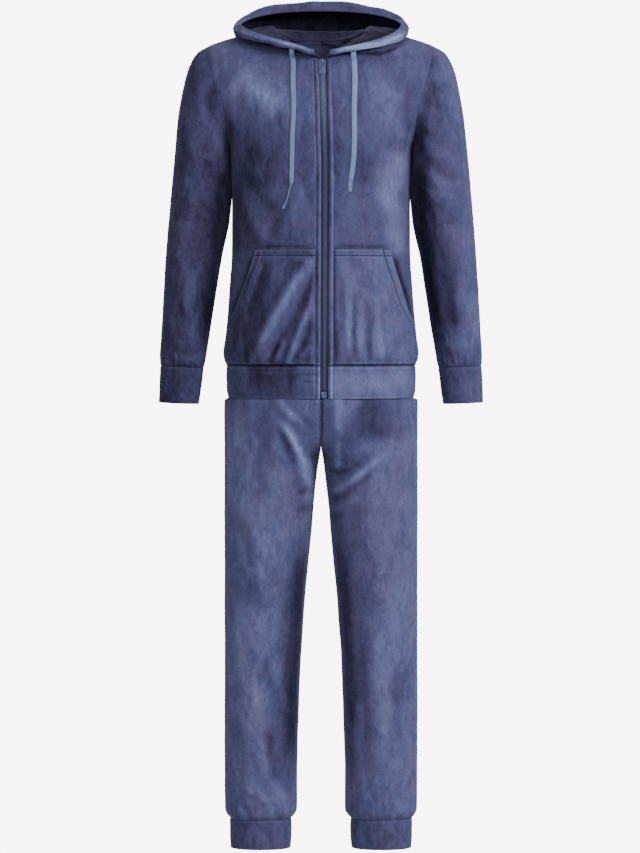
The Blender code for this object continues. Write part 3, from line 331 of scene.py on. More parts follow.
def normals_of(points, faces):
    """Unit normal per point: the sum over its faces of the cross product of the face's diagonals."""
    a, b, c, d = (points[faces[:, corner]] for corner in range(4))
    facing = np.cross(c - a, d - b)
    total = np.zeros_like(points)
    for corner in range(4):
        np.add.at(total, faces[:, corner], facing)
    return unit(total)


def free_edges(faces, count):
    """Edges that only one face uses, in that face's own direction."""
    start, end = faces.ravel(), np.roll(faces, -1, axis=1).ravel()
    alone = ~np.isin(start * count + end, end * count + start)
    return start[alone], end[alone]


def carry(mesh, attributes):
    """Store one number for each point of a mesh under each name, for its material to read."""
    for key, values in attributes.items():
        mesh.attributes.new(key, "FLOAT", "POINT").data.foreach_set("value", np.asarray(values, np.float32))


def new_object(name, points, faces, material, attributes=None):
    """A smooth mesh object at the origin, made from whole arrays of points, faces and point attributes."""
    mesh = bpy.data.meshes.new(name)
    mesh.from_pydata(points.tolist(), [], faces.tolist() if hasattr(faces, "tolist") else faces)
    mesh.shade_smooth()
    carry(mesh, attributes or {})
    mesh.materials.append(material)
    made = bpy.data.objects.new(name, mesh)
    bpy.context.collection.objects.link(made)
    return made


def face_outwards(made):
    """Turn all faces of a closed mesh outwards."""
    shape = bmesh.new()
    shape.from_mesh(made.data)
    bmesh.ops.recalc_face_normals(shape, faces=shape.faces)
    shape.to_mesh(made.data)
    shape.free()
    made.data.shade_smooth()


def wall(name, grid, kind, material, nap, thick=CLOTH, inner_painted_light=None):
    """Cloth over a grid: the face outside, the face `thick` behind it, and a round edge between them."""
    rows, columns = grid.shape[:2]
    faces = grid_faces(rows, columns, kind)
    used, faces = np.unique(faces, return_inverse=True)
    faces = faces.reshape(-1, 4)
    outer = grid.reshape(-1, 3)[used]
    facing = normals_of(outer, faces)
    count = len(outer)
    start, end = free_edges(faces, count)
    away = np.zeros_like(outer)
    out = np.cross(unit(outer[end] - outer[start]), facing[start])
    np.add.at(away, start, out)
    np.add.at(away, end, out)
    edge = np.unique(start)
    middle_of = np.zeros(count, int)
    middle_of[edge] = 2 * count + np.arange(len(edge))
    middle = outer[edge] + (unit(away[edge]) - facing[edge]) * thick / 2
    points = np.vstack([outer, outer - facing * thick, middle])
    rims = [np.stack([end, start, middle_of[start], middle_of[end]], axis=-1),
            np.stack([middle_of[end], middle_of[start], start + count, end + count], axis=-1)]
    nap = nap.ravel()[used]
    behind = INNER_SHADE * nap if inner_painted_light is None else inner_painted_light.ravel()[used]
    shade = np.concatenate([nap, behind, EDGE_NAP * nap[edge]])
    return new_object(name, points, np.vstack([faces, faces[:, ::-1] + count, *rims]), material, {"nap": shade})

# %% [markdown]
# ## Folds
#
# A fold is drawn as a line over the piece, seen from the front (x, z), with a reach to the sides and a height:
# positive is a ridge, negative a trough. The nearest point of the line gives the distance d, and the cloth
# is moved along its normal by height * exp(-(d / reach)^2), fading to nothing at both ends of the line.
# Besides these folds, crushed velour has many short, weak creases. They're scattered by a
# seeded random generator, so that every run gives the same ones.

# %% Folds and creases
FAR = 9.0               # further than any two places on the set, in metres
CREASE_PATCH = 22       # a crease is worked out over this many rows and columns to each side of its middle


def through(points, count=20):
    """A smooth line through a few points: the same cubics as the tables."""
    points = np.array(points, float)
    return glide(points, np.linspace(0, len(points) - 1, count)) if len(points) > 2 else (
        points[0] + (points[1] - points[0]) * np.linspace(0, 1, count)[:, None])


def line_relief(places, line, reach, height, ends=0.22):
    """Height of one fold at each place: a bell across the line, faded at the line's ends."""
    away = np.full(places.shape[:-1], FAR)
    along = np.zeros(places.shape[:-1])
    for step, (start, end) in enumerate(zip(line[:-1], line[1:])):
        way = end - start
        t = np.clip((places - start) @ way / max(way @ way, 1e-12), 0, 1)
        far = np.linalg.norm(places - start - t[..., None] * way, axis=-1)
        nearer = far < away
        away = np.where(nearer, far, away)
        along = np.where(nearer, (step + t) / (len(line) - 1), along)
    fade = smooth(along, 0, ends) * smooth(1 - along, 0, ends) if ends else 1.0
    return height * np.exp(-(away / reach) ** 2) * fade


def folds_relief(grid, facing, folds, side=-1):
    """All hand-placed folds on the side that faces -Y (side -1) or +Y (side 1)."""
    seen = smooth(side * facing[..., 1], 0.05, 0.45)
    places = grid[..., (0, 2)]
    total = np.zeros(grid.shape[:2])
    for *points, reach, height in folds:
        total += line_relief(places, through(points), reach, height)
    return total * seen


def creases_relief(grid, seed, count, longest=0.05, reach=0.0045, height=0.0005, lean=0.5):
    """Many short, weak creases at seeded places of the grid, as ridges and troughs in its own surface."""
    pick = np.random.default_rng(seed)
    rows, columns = grid.shape[:2]
    total = np.zeros((rows, columns))
    for _ in range(count):
        r, c = pick.integers(0, rows), pick.integers(0, columns)
        turn = pick.normal(math.pi / 2, lean)
        long, wide = longest * pick.uniform(0.3, 1), reach * pick.uniform(0.6, 1.6)
        size = height * pick.uniform(0.4, 1) * pick.choice((-1, 1))
        r0, r1 = max(r - CREASE_PATCH, 0), min(r + CREASE_PATCH + 1, rows)
        c0, c1 = max(c - CREASE_PATCH, 0), min(c + CREASE_PATCH + 1, columns)
        block = grid[r0:r1, c0:c1]
        down = unit(grid[min(r + 1, rows - 1), c] - grid[max(r - 1, 0), c])
        over = unit(grid[r, min(c + 1, columns - 1)] - grid[r, max(c - 1, 0)])
        offset = block - grid[r, c]
        u, v = offset @ over, offset @ down
        bend = pick.uniform(-6, 6)
        p = u * math.cos(turn) + v * math.sin(turn)
        q = v * math.cos(turn) - u * math.sin(turn) + bend * p * p
        total[r0:r1, c0:c1] += size * np.exp(-(p / long * 2) ** 2 - (q / wide) ** 2)
    return total


def ripples(points, seed, length=0.05, count=14, stretch=(1.0, 1.0, 0.45)):
    """A soft irregular field between about -1 and 1: a sum of seeded sine waves through space."""
    pick = np.random.default_rng(seed)
    ways = unit(pick.normal(size=(count, 3))) * stretch
    waves = 2 * math.pi / (length * pick.uniform(0.6, 1.7, count))
    phases = pick.uniform(0, 2 * math.pi, count)
    return sum(np.sin(points @ (way * wave) + phase)
               for way, wave, phase in zip(ways, waves, phases)) / math.sqrt(count)


def grid_normals(grid, kind):
    """Unit normal per grid point."""
    faces = grid_faces(*grid.shape[:2], kind)
    return normals_of(grid.reshape(-1, 3), faces).reshape(grid.shape)


def crossed_from_first(grid):
    """Distance along the surface from each point to the grid's first column."""
    over = np.linalg.norm(np.diff(grid, axis=1), axis=-1)
    return np.hstack([np.zeros((len(grid), 1)), np.cumsum(over, axis=1)])


def edge_distance(grid, kind):
    """Distance along the surface from each point to the grid's first and last row, and to its side edges."""
    down = np.linalg.norm(np.diff(grid, axis=0), axis=-1)
    travelled = np.vstack([np.zeros(grid.shape[1]), np.cumsum(down, axis=0)])
    rise, fall = travelled, travelled[-1] - travelled
    if kind == "tube":
        return rise, fall, np.full(rise.shape, FAR)
    crossed = crossed_from_first(grid)
    return rise, fall, np.minimum(crossed, crossed[:, -1:] - crossed)

# %% [markdown]
# ## The camera, the light and the floor
#
# The camera stands well back with a long lens, as for a catalogue picture, a little above the middle of the
# set. A large soft light from the front right is the main one: velour turns bright where the light grazes it,
# so the light's side decides which half of each form is dark. A weaker light from the left fills in, and one
# from above lifts the shoulders.

# %% Camera, lights, floor
EYE, AIM, LENS = (-0.0018, -6.5, -0.49), (-0.0018, 0.0, -0.6777), 152.4


def look(made, aim):
    """Turn a camera or light so that it looks at a point."""
    way = np.subtract(aim, made.location)
    made.rotation_euler = (math.atan2(np.hypot(way[0], way[1]), -way[2]), 0, math.atan2(-way[0], way[1]))


camera = bpy.data.objects.new("camera", bpy.data.cameras.new("camera"))
camera.data.lens, camera.data.sensor_width = LENS, 36
camera.location = EYE
look(camera, AIM)
bpy.context.collection.objects.link(camera)
bpy.context.scene.camera = camera


def area_light(name, place, aim, size, power, colour=(1, 1, 1)):
    """A soft square light."""
    lamp = bpy.data.lights.new(name, "AREA")
    lamp.shape, lamp.size, lamp.energy, lamp.color = "SQUARE", size, power, colour
    made = bpy.data.objects.new(name, lamp)
    made.location = place
    look(made, aim)
    bpy.context.collection.objects.link(made)
    return made


area_light("key_light", (3.2, -3.0, 1.6), (0, 0, -0.5), 1.2, 145)
area_light("fill_light", (-2.2, -4.5, 0.4), (0, 0, -0.7), 2.0, 46)
area_light("top_light", (0.3, -0.6, 3.2), (0, 0, -0.3), 1.4, 34)
world = bpy.data.worlds.new("studio")
world.use_nodes = True
world.node_tree.nodes["Background"].inputs["Color"].default_value = (1, 1, 1, 1)
world.node_tree.nodes["Background"].inputs["Strength"].default_value = 0.40
bpy.context.scene.world = world


def plain_material(name, colour, roughness=0.6):
    """A plain matt surface."""
    made = bpy.data.materials.new(name)
    made.use_nodes = True
    shader = made.node_tree.nodes["Principled BSDF"]
    shader.inputs["Base Color"].default_value = (*colour, 1)
    shader.inputs["Roughness"].default_value = roughness
    return made


def backdrop_material():
    """White paper that glows for the eye only: it looks white, but doesn't light the cloth from behind."""
    made = plain_material("white_paper", (0.85, 0.85, 0.85), 0.9)
    tree = made.node_tree
    shader = tree.nodes["Principled BSDF"]
    glow, mix, path = (tree.nodes.new(kind) for kind in (
        "ShaderNodeEmission", "ShaderNodeMixShader", "ShaderNodeLightPath"))
    glow.inputs["Strength"].default_value = 7.5
    tree.links.new(path.outputs["Is Camera Ray"], mix.inputs[0])
    tree.links.new(shader.outputs[0], mix.inputs[1])
    tree.links.new(glow.outputs[0], mix.inputs[2])
    tree.links.new(mix.outputs[0], tree.nodes["Material Output"].inputs[0])
    return made


HALF_PAPER = 12.0
SWEEP = (      # y and z of the paper: along the floor, round the bend and up the wall
    (-12.0, -1.62), (11.4, -1.62), (12.0, -1.60), (12.5, -1.45), (12.85, -1.05), (13.0, -0.4), (13.05, 9.0))
paper = np.array([(x, y, z) for y, z in SWEEP for x in (HALF_PAPER, -HALF_PAPER)])
backdrop = new_object("backdrop", paper, grid_faces(len(SWEEP), 2)[:, ::-1], backdrop_material())
print("camera, three lights and the paper sweep are in place")

# %% [markdown]
# ## A way to write shader maths
#
# Shader nodes are wired one by one, which is hard to read. The small class below wraps a node's output, so
# that `0.5 + 0.3 * mottle` adds its Math nodes by itself. Everything else goes through one method, `add`,
# that takes the node's type, its settings and the values or wires of its inputs.

# %% The shader helper


class Wire:
    """A node's output, which can be added, subtracted, multiplied and raised like a number."""

    def __init__(self, tree, socket):
        self.tree, self.socket = tree, socket

    def add(self, kind, out=0, settings=None, **inputs):
        """A new node: its settings are set first, then its inputs, named with _ for spaces or by number."""
        node = self.tree.nodes.new(kind)
        for key, value in (settings or {}).items():
            setattr(node, key, value)
        for key, value in inputs.items():
            number = key[2:] if key[:2] == "at" and key[2:].isdigit() else None
            target = node.inputs[int(number)] if number else node.inputs[key.replace("_", " ")]
            if isinstance(value, Wire):
                self.tree.links.new(value.socket, target)
            else:
                target.default_value = value
        return Wire(self.tree, node.outputs[out])

    def math(self, operation, *values):
        """A Math node on this value and the given ones."""
        return self.add("ShaderNodeMath", 0, {"operation": operation},
                        **{f"at{i}": value for i, value in enumerate((self, *values))})

    def __add__(self, other):
        return self.math("ADD", other)

    def __sub__(self, other):
        return self.math("SUBTRACT", other)

    def __rsub__(self, other):
        return -1.0 * self + other

    def __mul__(self, other):
        return self.math("MULTIPLY", other)

    def __pow__(self, other):
        return self.math("POWER", other)

    __radd__, __rmul__ = __add__, __mul__

    def clamped(self, low=0.0, high=1.0):
        """The value held between low and high."""
        return self.math("MINIMUM", high).math("MAXIMUM", low)

    def between(self, low, high):
        """0 below low, 1 above high, smooth between them."""
        return self.add("ShaderNodeMapRange", 0, {"interpolation_type": "SMOOTHSTEP"},
                        Value=self, From_Min=low, From_Max=high)

    def ramp(self, *stops):
        """A colour ramp through (place, colour) stops."""
        node = self.tree.nodes.new("ShaderNodeValToRGB")
        elements = node.color_ramp.elements
        while len(elements) < len(stops):
            elements.new(0.5)
        for element, (place, colour) in zip(elements, stops):
            element.position, element.color = place, (*colour, 1)
        self.tree.links.new(self.socket, node.inputs[0])
        return Wire(self.tree, node.outputs[0])

    def mixed(self, first, second):
        """Colour `first` where this is 0 and `second` where it is 1."""
        node = self.tree.nodes.new("ShaderNodeMix")
        node.data_type = "RGBA"
        self.tree.links.new(self.socket, node.inputs[0])
        for slot, value in ((6, first), (7, second)):
            if isinstance(value, Wire):
                self.tree.links.new(value.socket, node.inputs[slot])
            else:
                node.inputs[slot].default_value = (*value, 1)
        return Wire(self.tree, node.outputs[2])


def new_material(name, roughness=0.6, **constants):
    """An empty material, its shader and its Object coordinates."""
    made = bpy.data.materials.new(name)
    made.use_nodes = True
    shader = made.node_tree.nodes["Principled BSDF"]
    shader.inputs["Roughness"].default_value = roughness
    for key, value in constants.items():
        shader.inputs[key.replace("_", " ")].default_value = value
    start = Wire(made.node_tree, None)
    return made, shader, start, start.add("ShaderNodeTexCoord", "Object")


def feed(shader, **wires):
    """Plug wires into a shader's inputs."""
    for key, wire in wires.items():
        wire.tree.links.new(wire.socket, shader.inputs[key.replace("_", " ")])


def carried(start, name):
    """The number that the mesh's points carry under a name."""
    return start.add("ShaderNodeAttribute", "Fac", {"attribute_name": name})


def bump(start, strength, distance, height):
    """A fine bump whose depth follows `height`."""
    return start.add("ShaderNodeBump", 0, None, Strength=strength, Distance=distance, Height=height)


def noise(place, scale, detail=2.0, stretch=(1, 1, 1), rough=0.5, twist=0.0):
    """Soft noise between 0 and 1 in Object coordinates, stretched along the axes."""
    at = place.add("ShaderNodeMapping", 0, {"vector_type": "POINT"}, Vector=place, Scale=stretch)
    return place.add("ShaderNodeTexNoise", 0, None, Vector=at, Scale=scale, Detail=detail,
                     Roughness=rough, Distortion=twist)


# %% [markdown]
# ## Velour
#
# Velour is a knit with a short cut pile. Where the pile leans towards the eye it looks almost black, and where
# it leans away it shines light blue, so a stroke of the hand leaves light and dark areas that have nothing to
# do with the lamps. The pieces carry that as an attribute, `nap`, from 0 (dark) to 1 (light). The
# same attribute also holds painted light and shade: lighter where the cloth faces the key light, painted
# highlights on ridges and lips, and painted shade in troughs, inside the hood, between parts and under edges.
# The shader adds the crushed marks (noise of several sizes, small flips of the pile and thin dark cracks),
# turns the sum into colour through two ramps, and lets a fine bump and a constant sheen do the rest.

# %% Velour
NAP_STOPS = (0.0, 0.12, 0.3, 0.6, 0.85, 1.0)
BLUES = ((0.0025, 0.0022, 0.008), (0.0090, 0.0080, 0.025), (0.030, 0.028, 0.075),
         (0.074, 0.080, 0.188), (0.140, 0.162, 0.330), (0.24, 0.29, 0.52))
PURPLES = ((0.0030, 0.0020, 0.008), (0.0115, 0.0080, 0.026), (0.038, 0.029, 0.078),
           (0.090, 0.084, 0.188), (0.150, 0.155, 0.310), (0.25, 0.28, 0.50))


def velour_material():
    """Crushed velour: a blue and a purple ramp over the nap and its marks, with a fine pile as bump."""
    made, shader, start, place = new_material(
        "velour", 0.85, Sheen_Weight=0.18, Sheen_Roughness=0.45, Sheen_Tint=(0.62, 0.60, 1.0, 1),
        Specular_IOR_Level=0.15)
    # The attribute holds the brushed nap together with painted light and shade.
    nap = carried(start, "nap")
    clouds = noise(place, 20, 3, (1, 1, 0.85), 0.55, 0.6)
    marks = noise(place, 90, 5, (1, 1, 0.75), 0.62, 1.5)
    flecks = noise(place, 260, 3, (1, 1, 0.8), 0.6, 0.8)
    pile = noise(place, 1700, 2)
    crush = noise(place, 46, 4, (1, 1, 0.85), 0.6, 2.2)
    cracks = (1.0 - 20.0 * (crush - 0.5).math("ABSOLUTE")).clamped() * marks.between(0.50, 0.66)
    flips = (noise(place, 32, 3, (1.2, 1, 0.55), 0.50, 0.9).between(0.43, 0.55)
             + 0.7 * noise(place, 74, 3, (1.4, 1, 0.6), 0.52, 0.8).between(0.43, 0.54))
    tone = (nap + 0.07 * (clouds - 0.5) + 0.24 * (marks - 0.5) + 0.20 * (flecks - 0.5) + 0.10 * (pile - 0.5)
            + 0.062 * (flips - 0.85) - 0.16 * cracks).clamped()
    blue, purple = (tone.ramp(*zip(NAP_STOPS, colours)) for colours in (BLUES, PURPLES))
    colour = noise(place, 13, 3, (1, 1, 0.8), 0.55, 0.8).between(0.40, 0.62).mixed(blue, purple)
    feed(shader, Base_Color=colour, Normal=bump(start, 0.35, 0.0006, 0.6 * pile + 0.4 * flecks))
    return made


def lit_near_the_neck(place):
    """Painted light: 0 on the lower part of the zip and 1 at its top, where its pile and coil catch the light.
    """
    return place.add("ShaderNodeSeparateXYZ", 2, None, Vector=place).between(-0.210, -0.060)


def satin_material():
    """The drawstrings: a smooth woven tape with fine ribs along it."""
    made, shader, start, place = new_material(
        "satin", 0.36, Sheen_Weight=0.2, Specular_IOR_Level=0.5)
    along, over = carried(start, "along"), carried(start, "over")
    ribs = (over * 60.0).math("SINE")
    weft = (along * 5200.0).math("SINE")
    cloud = noise(place, 60, 2)
    tone = (0.5 + 0.5 * (cloud - 0.5) + 0.06 * ribs).clamped()
    weave = bump(start, 0.3, 0.0003, 0.3 * ribs + 0.2 * weft)
    feed(shader, Base_Color=tone.ramp((0.2, (0.10, 0.135, 0.30)), (0.8, (0.20, 0.27, 0.55))), Normal=weave)
    return made


def tape_material():
    """The zip's tape: a dense herringbone weave in the cloth's darkest blue, painted lighter towards the neck
    as painted light.
    """
    made, shader, start, place = new_material("zip_tape_weave", 0.75, Specular_IOR_Level=0.3)
    along, over = carried(start, "along"), carried(start, "over")
    zigzag = (over * 2.0).math("PINGPONG", 1.0)
    twill = (along * 4200.0 + zigzag * 6.0).math("SINE")
    tone = (0.5 + 0.3 * twill + 0.5 * (noise(place, 400, 2) - 0.5)).clamped()
    weave = bump(start, 0.4, 0.0003, twill)
    dark = tone.ramp((0.0, (0.012, 0.011, 0.032)), (1.0, (0.038, 0.038, 0.105)))
    light = tone.ramp((0.0, (0.040, 0.045, 0.110)), (1.0, (0.095, 0.110, 0.230)))
    feed(shader, Base_Color=lit_near_the_neck(place).mixed(dark, light), Normal=weave)
    return made


def smooth_material(name, dark, light, roughness, metallic=0.0, scale=500):
    """An even surface with a faint variation: enamel and thread."""
    made, shader, _, place = new_material(name, roughness, Metallic=metallic)
    tone = noise(place, scale, 2)
    feed(shader, Base_Color=tone.ramp((0.3, dark), (0.7, light)))
    return made


def teeth_material():
    """The coil: dark nylon, painted lighter towards the neck as painted light."""
    made, shader, _, place = new_material("zip_teeth", 0.35)
    tone = noise(place, 500, 2)
    dark = tone.ramp((0.3, (0.046, 0.049, 0.118)), (0.7, (0.075, 0.082, 0.185)))
    light = tone.ramp((0.3, (0.100, 0.115, 0.230)), (0.7, (0.150, 0.175, 0.330)))
    feed(shader, Base_Color=lit_near_the_neck(place).mixed(dark, light))
    return made


velour = velour_material()
satin = satin_material()
tape_weave = tape_material()
teeth_plastic = teeth_material()
enamel = smooth_material("enamelled_metal", (0.10, 0.125, 0.25), (0.13, 0.16, 0.31), 0.28, 0.55)
light_thread = smooth_material("light_thread", (0.10, 0.12, 0.25), (0.16, 0.19, 0.36), 0.7, 0.0, 900)

# %% [markdown]
# ## Where the cloth is creased, where its pile is brushed, and where light and shade are painted
#
# Each line below is one fold: its places seen from the front (x, z), its reach and its height. The strokes are
# written in the same way, with an amount of light instead of a height: some say where the pile is brushed up
# (light) or down (dark), and many are painted light and shade: highlights along ridges and on the lit side,
# shade in troughs, between sleeve and body, between the legs and under edges. The hidden side gets the same
# kind of folds, mirrored and somewhat weaker.

# %% Folds and strokes of the jacket
BODY_FOLDS = (
    ((-0.165, -0.170), (-0.135, -0.215), (-0.100, -0.236), 14 * MM, 1.7 * MM),
    ((-0.160, -0.215), (-0.120, -0.262), (-0.085, -0.300), 13 * MM, -1.2 * MM),
    ((-0.150, -0.260), (-0.118, -0.320), (-0.098, -0.352), 12 * MM, 1.2 * MM),
    ((0.163, -0.185), (0.140, -0.240), (0.105, -0.290), 15 * MM, 1.7 * MM),
    ((0.155, -0.250), (0.140, -0.300), (0.128, -0.350), 12 * MM, -1.2 * MM),
    ((0.100, -0.215), (0.082, -0.262), (0.074, -0.330), 12 * MM, 1.0 * MM),
    ((-0.172, -0.050), (-0.150, -0.105), (-0.156, -0.160), 12 * MM, -0.8 * MM),
    ((0.172, -0.055), (0.150, -0.110), (0.157, -0.165), 12 * MM, -0.8 * MM),
    ((-0.140, -0.070), (-0.100, -0.112), (-0.050, -0.130), 20 * MM, 1.2 * MM),
    ((0.060, -0.130), (0.105, -0.115), (0.140, -0.080), 20 * MM, 1.0 * MM),
    ((-0.030, -0.250), (-0.060, -0.300), (-0.075, -0.350), 10 * MM, 1.1 * MM),
    ((-0.050, -0.235), (-0.085, -0.275), (-0.115, -0.340), 9 * MM, -0.9 * MM),
    ((0.060, -0.235), (0.090, -0.210), (0.110, -0.180), 8 * MM, -0.8 * MM),
    ((-0.020, -0.060), (-0.024, -0.160), (-0.020, -0.260), 10 * MM, 0.6 * MM),
    ((0.036, -0.070), (0.034, -0.180), (0.038, -0.290), 10 * MM, 0.6 * MM),
)
# Pile and painted light on the body: the chest and the lit side lighter, painted shade on the far side, beside
# the sleeve, over the wearer's right half of the hem band and in its creases.
BODY_NAP_AND_PAINTED_LIGHT = (
    ((-0.215, 0.000), (-0.140, -0.045), (-0.080, -0.080), (-0.040, -0.115), (-0.022, -0.160), 34 * MM, 0.12),
    ((-0.165, -0.048), (-0.118, -0.088), (-0.068, -0.130), 42 * MM, 0.25),
    ((-0.150, -0.185), (-0.110, -0.205), (-0.085, -0.265), 26 * MM, -0.15),
    ((-0.150, -0.215), (-0.150, -0.300), (-0.140, -0.380), 24 * MM, -0.17),
    ((-0.105, -0.260), (-0.070, -0.320), (-0.055, -0.360), 20 * MM, -0.10),
    ((-0.085, -0.285), (-0.105, -0.345), 8 * MM, 0.12),
    ((-0.040, -0.200), (-0.040, -0.330), 18 * MM, 0.04),
    ((0.100, -0.050), (0.120, -0.110), (0.135, -0.180), 26 * MM, 0.10),
    ((0.145, -0.180), (0.130, -0.230), (0.110, -0.300), 22 * MM, 0.26),
    ((0.120, -0.260), (0.135, -0.330), (0.140, -0.380), 22 * MM, 0.20),
    ((0.050, -0.170), (0.070, -0.215), (0.080, -0.250), 22 * MM, -0.14),
    ((0.168, -0.050), (0.150, -0.120), (0.158, -0.160), 12 * MM, -0.12),
    ((-0.160, -0.120), (-0.163, -0.200), 6 * MM, -0.20),
    ((0.030, -0.080), (0.028, -0.230), 12 * MM, -0.06),
    ((-0.140, -0.575), (-0.030, -0.580), 40 * MM, -0.26),
    ((-0.030, -0.600), (0.060, -0.598), (0.220, -0.600), 30 * MM, 0.24),
    ((-0.040, -0.580), (-0.020, -0.582), (0.000, -0.582), 2 * MM, -0.16),
    ((-0.036, -0.594), (-0.018, -0.596), (0.000, -0.597), 2 * MM, -0.16),
    ((-0.150, -0.576), (-0.090, -0.580), (-0.020, -0.577), 3 * MM, 0.10),
)
# Painted light beside the zip, and painted shade under the pockets' mouths and tops and under the hood's lip.
FRONT_SHADE = (       # beside the zip, under the pockets' mouths and tops, and under the hood's lip
    ((0.010, -0.280), (0.012, -0.550), 8 * MM, 0.12),
    # under the pockets' mouths
    ((-0.116, -0.362), (-0.136, -0.425), (-0.167, -0.500), 5 * MM, -0.40),
    ((0.127, -0.362), (0.146, -0.425), (0.170, -0.500), 5 * MM, -0.40),
    ((-0.116, -0.356), (-0.012, -0.356), 3 * MM, -0.20),
    ((0.018, -0.356), (0.127, -0.356), 3 * MM, -0.20),
    # under the lip
    ((-0.150, 0.020), (-0.126, 0.009), (-0.082, 0.002), (-0.055, -0.006), (-0.020, -0.018), 4 * MM, -0.34),
    ((0.152, 0.014), (0.128, -0.004), (0.099, -0.013), (0.055, -0.013), (0.016, -0.022), 4 * MM, -0.34),
    ((-0.120, -0.002), (-0.055, -0.018), 12 * MM, -0.10),
    ((0.140, -0.010), (0.099, -0.024), (0.045, -0.026), 14 * MM, -0.14),
)
POCKET_RIGHT_FOLDS = (
    ((-0.008, -0.352), (-0.040, -0.405), (-0.085, -0.480), (-0.150, -0.600), 12 * MM, 4.6 * MM),
    ((-0.004, -0.385), (-0.050, -0.476), (-0.115, -0.590), 8 * MM, -1.5 * MM),
    ((-0.008, -0.430), (-0.037, -0.498), (-0.075, -0.590), 7 * MM, 2.4 * MM),
    ((-0.030, -0.520), (-0.048, -0.548), (-0.058, -0.566), 4 * MM, -1.6 * MM),
    ((-0.066, -0.520), (-0.078, -0.545), (-0.088, -0.566), 5 * MM, 2.0 * MM),
    ((-0.020, -0.530), (-0.040, -0.556), 4 * MM, 1.4 * MM),
    ((-0.095, -0.380), (-0.115, -0.420), (-0.135, -0.500), 12 * MM, -1.6 * MM),
)
# Painted light on the right pocket: highlights along its fold ridges, painted shade in the troughs and along
# its foot.
POCKET_RIGHT_PAINTED_LIGHT = (
    ((-0.024, -0.380), (-0.073, -0.460), (-0.120, -0.545), 11 * MM, 0.30),
    ((-0.016, -0.451), (-0.037, -0.500), (-0.055, -0.548), 6 * MM, 0.20),
    ((-0.012, -0.405), (-0.048, -0.483), (-0.095, -0.562), 8 * MM, -0.04),
    ((-0.090, -0.385), (-0.120, -0.450), (-0.140, -0.540), 18 * MM, -0.10),
    ((-0.012, -0.480), (-0.030, -0.540), 8 * MM, -0.12),
    ((-0.140, -0.566), (-0.020, -0.566), 5 * MM, -0.08),
)
POCKET_LEFT_FOLDS = (
    ((0.052, -0.392), (0.046, -0.470), (0.047, -0.566), 12 * MM, 1.3 * MM),
    ((0.068, -0.420), (0.064, -0.500), (0.068, -0.566), 9 * MM, 1.2 * MM),
    ((0.094, -0.430), (0.094, -0.500), (0.101, -0.566), 12 * MM, 1.5 * MM),
    ((0.112, -0.470), (0.118, -0.520), (0.122, -0.566), 8 * MM, 1.3 * MM),
    ((0.080, -0.450), (0.080, -0.520), (0.084, -0.566), 7 * MM, -0.9 * MM),
    ((0.057, -0.440), (0.055, -0.500), (0.058, -0.566), 6 * MM, -0.8 * MM),
    ((0.030, -0.500), (0.032, -0.566), 6 * MM, 1.4 * MM),
)
# Painted light on the left pocket in the same way: highlights on the ridges, painted shade in the troughs.
POCKET_LEFT_PAINTED_LIGHT = (
    ((0.050, -0.385), (0.046, -0.480), (0.050, -0.560), 9 * MM, 0.12),
    ((0.066, -0.440), (0.068, -0.560), 6 * MM, 0.10),
    ((0.100, -0.480), (0.106, -0.560), 12 * MM, 0.14),
    ((0.032, -0.480), (0.034, -0.562), 10 * MM, -0.10),
    ((0.057, -0.490), (0.058, -0.560), 4 * MM, -0.14),
    ((0.080, -0.400), (0.090, -0.450), 18 * MM, -0.06),
    ((0.085, -0.520), (0.087, -0.560), 4 * MM, -0.12),
)
SLEEVE_FOLDS = (
    ((0.196, -0.205), (0.215, -0.232), (0.246, -0.247), 11 * MM, -1.3 * MM),
    ((0.176, -0.165), (0.205, -0.195), (0.240, -0.205), 14 * MM, 1.4 * MM),
    ((0.175, -0.250), (0.205, -0.275), (0.250, -0.280), 13 * MM, 1.2 * MM),
    ((0.185, -0.300), (0.215, -0.320), (0.262, -0.315), 12 * MM, -1.0 * MM),
    ((0.255, -0.110), (0.240, -0.170), (0.236, -0.240), 12 * MM, 1.0 * MM),
    ((0.262, -0.360), (0.245, -0.420), (0.240, -0.500), 11 * MM, 1.0 * MM),
    ((0.205, -0.390), (0.222, -0.440), (0.230, -0.530), 10 * MM, -0.8 * MM),
    ((0.190, -0.060), (0.205, -0.100), (0.200, -0.150), 10 * MM, -1.0 * MM),
    ((0.208, -0.520), (0.240, -0.538), (0.280, -0.534), 7 * MM, 0.8 * MM),
    ((0.205, -0.545), (0.235, -0.556), (0.262, -0.553), 5 * MM, -0.7 * MM),
)
# Pile and painted light on both sleeves: lighter shoulder tops and outsides, painted shade down the inner side
# where the sleeve meets the body.
SLEEVE_LEFT_NAP_AND_PAINTED_LIGHT = (
    ((0.215, -0.020), (0.245, -0.080), (0.258, -0.180), 20 * MM, 0.05),
    ((0.262, -0.160), (0.268, -0.300), (0.278, -0.420), 18 * MM, 0.03),
    ((0.272, -0.420), (0.282, -0.540), 20 * MM, 0.12),
    ((0.172, -0.170), (0.182, -0.300), (0.192, -0.420), (0.212, -0.560), 20 * MM, -0.34),
    ((0.215, -0.300), (0.228, -0.420), (0.238, -0.520), 15 * MM, -0.14),
    ((0.180, -0.110), (0.176, -0.200), 12 * MM, -0.20),
    ((0.200, -0.060), (0.190, -0.110), 10 * MM, -0.14),
    ((0.185, -0.030), (0.215, -0.030), 14 * MM, -0.08),
)
SLEEVE_RIGHT_NAP_AND_PAINTED_LIGHT = (
    ((-0.205, -0.020), (-0.230, -0.100), (-0.225, -0.180), 20 * MM, 0.04),
    ((-0.215, -0.200), (-0.240, -0.330), (-0.255, -0.460), 18 * MM, 0.05),
    ((-0.255, -0.080), (-0.268, -0.300), (-0.285, -0.500), 18 * MM, 0.05),
    ((-0.172, -0.170), (-0.182, -0.300), (-0.196, -0.450), (-0.212, -0.560), 20 * MM, -0.30),
    ((-0.195, -0.060), (-0.190, -0.120), 12 * MM, -0.12),
)

